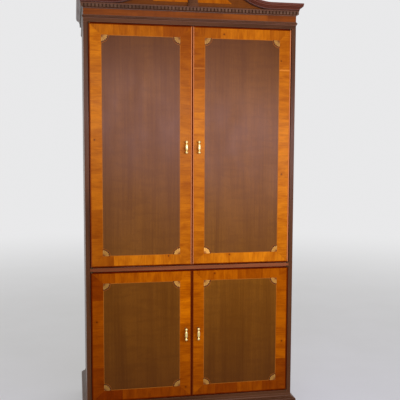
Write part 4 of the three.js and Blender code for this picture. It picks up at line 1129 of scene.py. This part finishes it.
def deck():
    """The board between the two stages. Its front edge is a lighter lipping."""
    board = eased_board("mid_deck", "case", [mahogany["X"], deck_edge, rubbed_and_highlit["X"]])
    second_finish(board, -0.9)


def door_core(stage, word):
    """The door's board. Its inside face is polished mahogany and its edges are a near black red, painted
    shade for the gaps round the door.
    """
    node = f"door_{stage}_{word}"
    second_finish(eased_board(node, f"{stage}_door_{word}", [mahogany["Z"], core], 0.3 * MM), 0.9)


def door_face(stage, word):
    """Veneers of one door, laid edge to edge: crossbanding, a light string, a field with hollow corners
    and a fan in each."""
    door = f"{stage}_{word}"
    low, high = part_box("door_" + door)
    front = low.y + BEAD_RISE - VENEER
    foot, head = np.array([low.x, low.z]) + BEAD_WIDTH, np.array([high.x, high.z]) - BEAD_WIDTH
    rng = np.random.default_rng({"upper": 11, "lower": 23}[stage] + (word == "right"))
    leaves_up = round((head[1] - foot[1]) / LEAF_HEIGHT)
    lengths = [rng.uniform(0.7, 1.3, count) for count in (LEAVES_ACROSS, leaves_up) * 2]
    shell = Shell()
    crossband(shell, foot, head, front, lengths, BAND_TONE_AND_SHADE[door], KNOTS[door], rng)
    sapwood(shell, foot[0], head[0], front, SAPWOOD.get(door, ()))
    foot, head = foot + BAND_WIDTHS, head - BAND_WIDTHS
    near, far, end = JOINT / 2, STRING_WIDTH - JOINT / 2, FAN_RADIUS + JOINT
    for edge, inward in ((foot, 1), (head, -1)):
        x, z = edge[0] + inward * np.array([near, far]), edge[1] + inward * np.array([near, far])
        upright = rectangle((x[0], foot[1] + end), (x[1], head[1] - end))
        level = rectangle((foot[0] + end, z[0]), (head[0] - end, z[1]))
        shell.plate(upright, front, VENEER, math.pi / 2, finish=STRING)
        shell.plate(level, front, VENEER, finish=STRING)
    for pivot, toward, tone in zip(rectangle(foot, head), rectangle((1, 1), (-1, -1)), FAN_PAINTED_SHADE[door]):
        fan(shell, pivot, toward, front, tone)
    field(shell, foot, head, front, FIELD_PAINTED_SHADE[door])
    finishes = [yew[stage], field_veneer[stage], stringing, holly, ground]
    shell.piece("door_face_" + door, f"{stage}_door_{word}", finishes, "yew", weighted=False)


def cockbead(stage, word):
    """The bead round a door: half of an oval, carried round the door's edge and mitred, a hair proud of
    the solid's own bead. A painted highlight along its crest, the cube of a sine that leans inwards, is as
    bright as each side's painted light says. Painted shade grows with the distance from the crest, sooner on
    the outer flank beside the gap, and darkens the bead towards a dark red."""
    door = f"{stage}_{word}"
    low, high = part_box("door_" + door)
    turn = np.linspace(0, math.pi, 15)
    across = BEAD_WIDTH / 2 - (BEAD_WIDTH / 2 + BEAD_PROUD) * np.cos(turn)
    rise = (BEAD_RISE + BEAD_PROUD) * np.sin(turn) ** 0.8
    oval = np.stack([across, rise], 1)
    section = np.concatenate([[(across[0], -BEAD_ROOT)], oval, [(across[-1], -BEAD_ROOT)]])
    origins = np.insert(rectangle((low.x, low.z), (high.x, high.z)), 1, low.y + BEAD_RISE, 1)
    outs = np.insert(rectangle((1.0, 1.0), (-1.0, -1.0)), 1, 0.0, 1)
    points = carried(section, origins, outs, (0.0, -1.0, 0.0))
    # A painted highlight along the crest and painted shade on the flanks
    crest = np.concatenate([[0], np.sin(turn - 0.25).clip(0) ** 3, [0]])
    bare = np.where(turn < math.pi / 2, 0.15, 0.45)
    glaze_and_shade = np.concatenate([[1], (np.abs(2 * turn / math.pi - 1) - bare).clip(0) * 2.2, [1]])
    shell = Shell()
    for side, tone in enumerate(BEAD_PAINTED_LIGHT[door]):
        run = points[[side, (side + 1) % 4]]
        wear = (0.55 + tone) * crest - glaze_and_shade
        shell.grid(run, wrap_columns=True, wear=wear, tone=tone, grain=run[..., [0, 2]])
    shell.piece("cockbead_" + door, f"{stage}_door_{word}", [beading], "mahogany", 50)


def pull(stage, word):
    """Two turned posts with ball heads on roses, and between them a grip: a barrel whose radius falls
    off with a power of the share of its length, with a groove round its middle and a ring at each end,
    which are bell curves. The roses and the necks are darker brown, fading out on the balls."""
    node = f"pull_{stage}_{word}"
    low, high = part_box(node)
    x, z = (low.x + high.x) / 2, (low.z + high.z) / 2
    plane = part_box(f"door_{stage}_{word}")[0].y + BEAD_RISE
    shell = Shell()
    turn = np.linspace(math.pi - math.asin(PULL_NECK / PULL_BALL), 0, 20)
    ball = np.stack([PULL_BALL * np.sin(turn), PULL_STAND + PULL_BALL * np.cos(turn)], 1)
    rose = [(0, 0), (PULL_ROSE, 0), (PULL_ROSE, 0.6 * MM), (PULL_ROSE - 0.6 * MM, 1.2 * MM)]
    neck = smoothed([
        (PULL_ROSE - 1.4 * MM, 1.6 * MM), (PULL_NECK + 0.5 * MM, 3.2 * MM), (PULL_NECK, 5.5 * MM),
        (PULL_NECK, 9 * MM), (PULL_NECK + 1.3 * MM, 10 * MM), (PULL_NECK + 1.3 * MM, 11 * MM),
        (PULL_NECK, 12 * MM),
    ], 4)
    post = np.concatenate([rose, neck, ball]) * (1, -1)
    # Darker brown on the roses and necks, fading out over the lower part of the balls
    post_darkening = 0.9 * ((PULL_STAND - 0.4 * PULL_BALL + post[:, 1]) / (3 * MM)).clip(0, 1)
    for end in (-1, 1):
        turned(shell, post, (x, plane, z + end * PULL_SPACING / 2), 1, 40, shade=post_darkening)
    t = np.linspace(-1, 1, 61)
    barrel = (1 - (np.abs(t) / GRIP_BARREL) ** 3.2).clip(0) ** 0.6
    radius = PULL_NECK + (PULL_BELLY - PULL_NECK) * barrel
    for ring, rise in ((0, -0.4 * MM), (-GRIP_RING, 1.2 * MM), (GRIP_RING, 1.2 * MM)):
        radius = radius + rise * np.exp(-(((t - ring) / GRIP_RING_WIDTH) ** 2))
    grip = np.concatenate([[(0, t[0])], np.stack([radius.clip(0, PULL_BELLY), t], 1), [(0, t[-1])]])
    grip[:, 1] *= PULL_SPACING / 2
    turned(shell, grip, (x, plane - PULL_STAND, z), 2, 40)
    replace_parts(shell.piece(node + "_turned", f"{stage}_door_{word}", [brass], "brass", 50), node)


# Putting it together

for word in ("front", "left", "right"):
    for node, section in (("base_moulding_", base_section), ("astragal_", astragal_section)):
        low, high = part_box(node + "front")
        moulding(node + word + "_run", node + word, section(FACE - low.y, high.z - low.z), word)
    dentils(word)
for word in SIDES:
    section = crown_section(CROWN_REACH, CROWN_HEIGHT)
    moulding("crown_run_" + word, "crown_" + word, section, word, crowning, CROWN_SHADOW_HEIGHT)
    swan_neck(word)
    rosette(word)
    eased_board("side_" + word, "case", [mahogany["Z"], rubbed_and_highlit["Z"]])
    for end in ("front", "rear"):
        eased_board(f"foot_{end}_{word}", "case", [mahogany["X"], rubbed_and_highlit["X"]])
pediment()
frieze()
plinth()
finial()

for node in ("floor_panel", "bottom_rail", "frieze_board"):
    eased_board(node, "case", [mahogany["X"], rubbed_and_highlit["X"]])
deck()
for stage in STAGES:
    eased_board("shelf_" + stage, "case", [carcass])
    eased_board("door_stop_" + stage, "case", [carcass])
    eased_board("back_" + stage, "case", [backing], 0.4 * MM)
    for word in SIDES:
        door_core(stage, word)
        door_face(stage, word)
        cockbead(stage, word)
        pull(stage, word)

for name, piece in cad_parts.items():
    finish = bronze if name.startswith("hinge") else carcass
    for slot in piece.material_slots:
        slot.material = finish


# The studio

# The air's colour, how strong it is on the object and to the eye, and how far the floor goes
AIR_COLOUR = paint(238, 238, 239)
AIR_LIGHT = 0.38
AIR_SHOWN = 0.95
FLOOR_RADIUS = 9

# The photograph's view, as a fit to the case's corners gives it: the eye's place, and which way it looks
EYE = (-0.56046, FACE - 3.17326, 1.41568)
HEADING, PITCH, ROLL = (math.radians(angle) for angle in (10.6896, 4.9068, 0.2098))
LENS_LENGTH = 59.478
LENS_SENSOR = 36


def studio_floor():
    """A round pale floor, far wider than the object, that pales into the air behind it with distance."""
    mesh = bpy.data.meshes.new("studio_floor")
    rim = np.insert(arc((0, 0), FLOOR_RADIUS, 0, 2 * math.pi, 96)[:-1], 2, 0.0, 1)
    mesh.from_pydata(rim.tolist(), [], [list(range(len(rim)))])
    finish = Finish(bpy.data.materials.new("studio_floor"))
    place = finish.along("X")
    cloud = finish.ramp(finish.noise(place, (2.0, 2.0, 2.0), 3.0), 0.3, 0.7)
    colour = finish.blend(cloud, paint(222, 220, 216), paint(228, 226, 223))
    mesh.materials.append(finish.dressed({"Base Color": colour, "Roughness": 0.7}))
    away = finish.node("VectorMath", {0: place}, operation="LENGTH").outputs["Value"]
    share = finish.calc("MULTIPLY", finish.seen(), finish.ramp(away, 1.2, 7.5, 0.4, 1.0))
    paper = finish.node("Emission", {"Color": AIR_COLOUR, "Strength": AIR_SHOWN})
    mixed = finish.node("MixShader", {0: share, 1: finish.shader.outputs[0], 2: paper.outputs[0]})
    finish.put(finish.tree.nodes["Material Output"].inputs["Surface"], mixed.outputs[0])
    floor = bpy.data.objects.new("studio_floor", mesh)
    bpy.context.scene.collection.objects.link(floor)


def soft_box(name, place, aim, size, watts, colour=(1.0, 1.0, 1.0), tilt=0.0):
    """A wide soft lamp that faces a point, turned about the line to it by a tilt, and not seen itself."""
    lamp = bpy.data.lights.new(name, "AREA")
    lamp.shape = "RECTANGLE"
    lamp.size, lamp.size_y = size
    lamp.energy = watts
    lamp.color = colour
    holder = bpy.data.objects.new(name, lamp)
    holder.location = place
    holder.visible_camera = False
    facing = (Vector(aim) - Vector(place)).to_track_quat("-Z", "Y")
    holder.rotation_euler = (facing @ Quaternion((0, 0, 1), tilt)).to_euler()
    bpy.context.scene.collection.objects.link(holder)


def studio_air():
    """An even pale surround. What the camera, metal and glass see is paler than what lights the object."""
    air = Finish(bpy.data.worlds.new("studio_air"), "Background")
    strength = air.ramp(air.seen(), 0.0, 1.0, AIR_LIGHT, AIR_SHOWN)
    bpy.context.scene.world = air.dressed({"Color": AIR_COLOUR, "Strength": strength})


def camera():
    """The photograph's own view: turned to the right by its heading, down by its pitch, and by its roll
    about the line that it looks along."""
    right = Vector((math.cos(HEADING), -math.sin(HEADING), 0))
    ahead = Vector((math.sin(HEADING), math.cos(HEADING), 0))
    forward = math.cos(PITCH) * ahead - Vector((0, 0, math.sin(PITCH)))
    up = right.cross(forward)
    tilted_right = math.cos(ROLL) * right + math.sin(ROLL) * up
    tilted_up = -math.sin(ROLL) * right + math.cos(ROLL) * up
    lens = bpy.data.cameras.new("camera")
    lens.sensor_width = LENS_SENSOR
    lens.lens = LENS_LENGTH
    holder = bpy.data.objects.new("camera", lens)
    axes = Matrix((tilted_right, tilted_up, -forward)).transposed()
    holder.matrix_world = Matrix.Translation(EYE) @ axes.to_4x4()
    bpy.context.scene.collection.objects.link(holder)
    bpy.context.scene.camera = holder


studio_floor()
studio_air()
soft_box(
    "key", place=(0.35, FACE - 1.6, 1.51), aim=(0.3, FACE, 1.49), size=(1.9, 0.55), watts=21,
    colour=(1.0, 0.95, 1.6), tilt=math.radians(-10),
)
soft_box("overhead", place=(0.0, 0.2, 4.6), aim=(0.0, 0.2, 1.4), size=(3.0, 3.0), watts=32)
camera()
bpy.context.scene.view_settings.view_transform = "Standard"
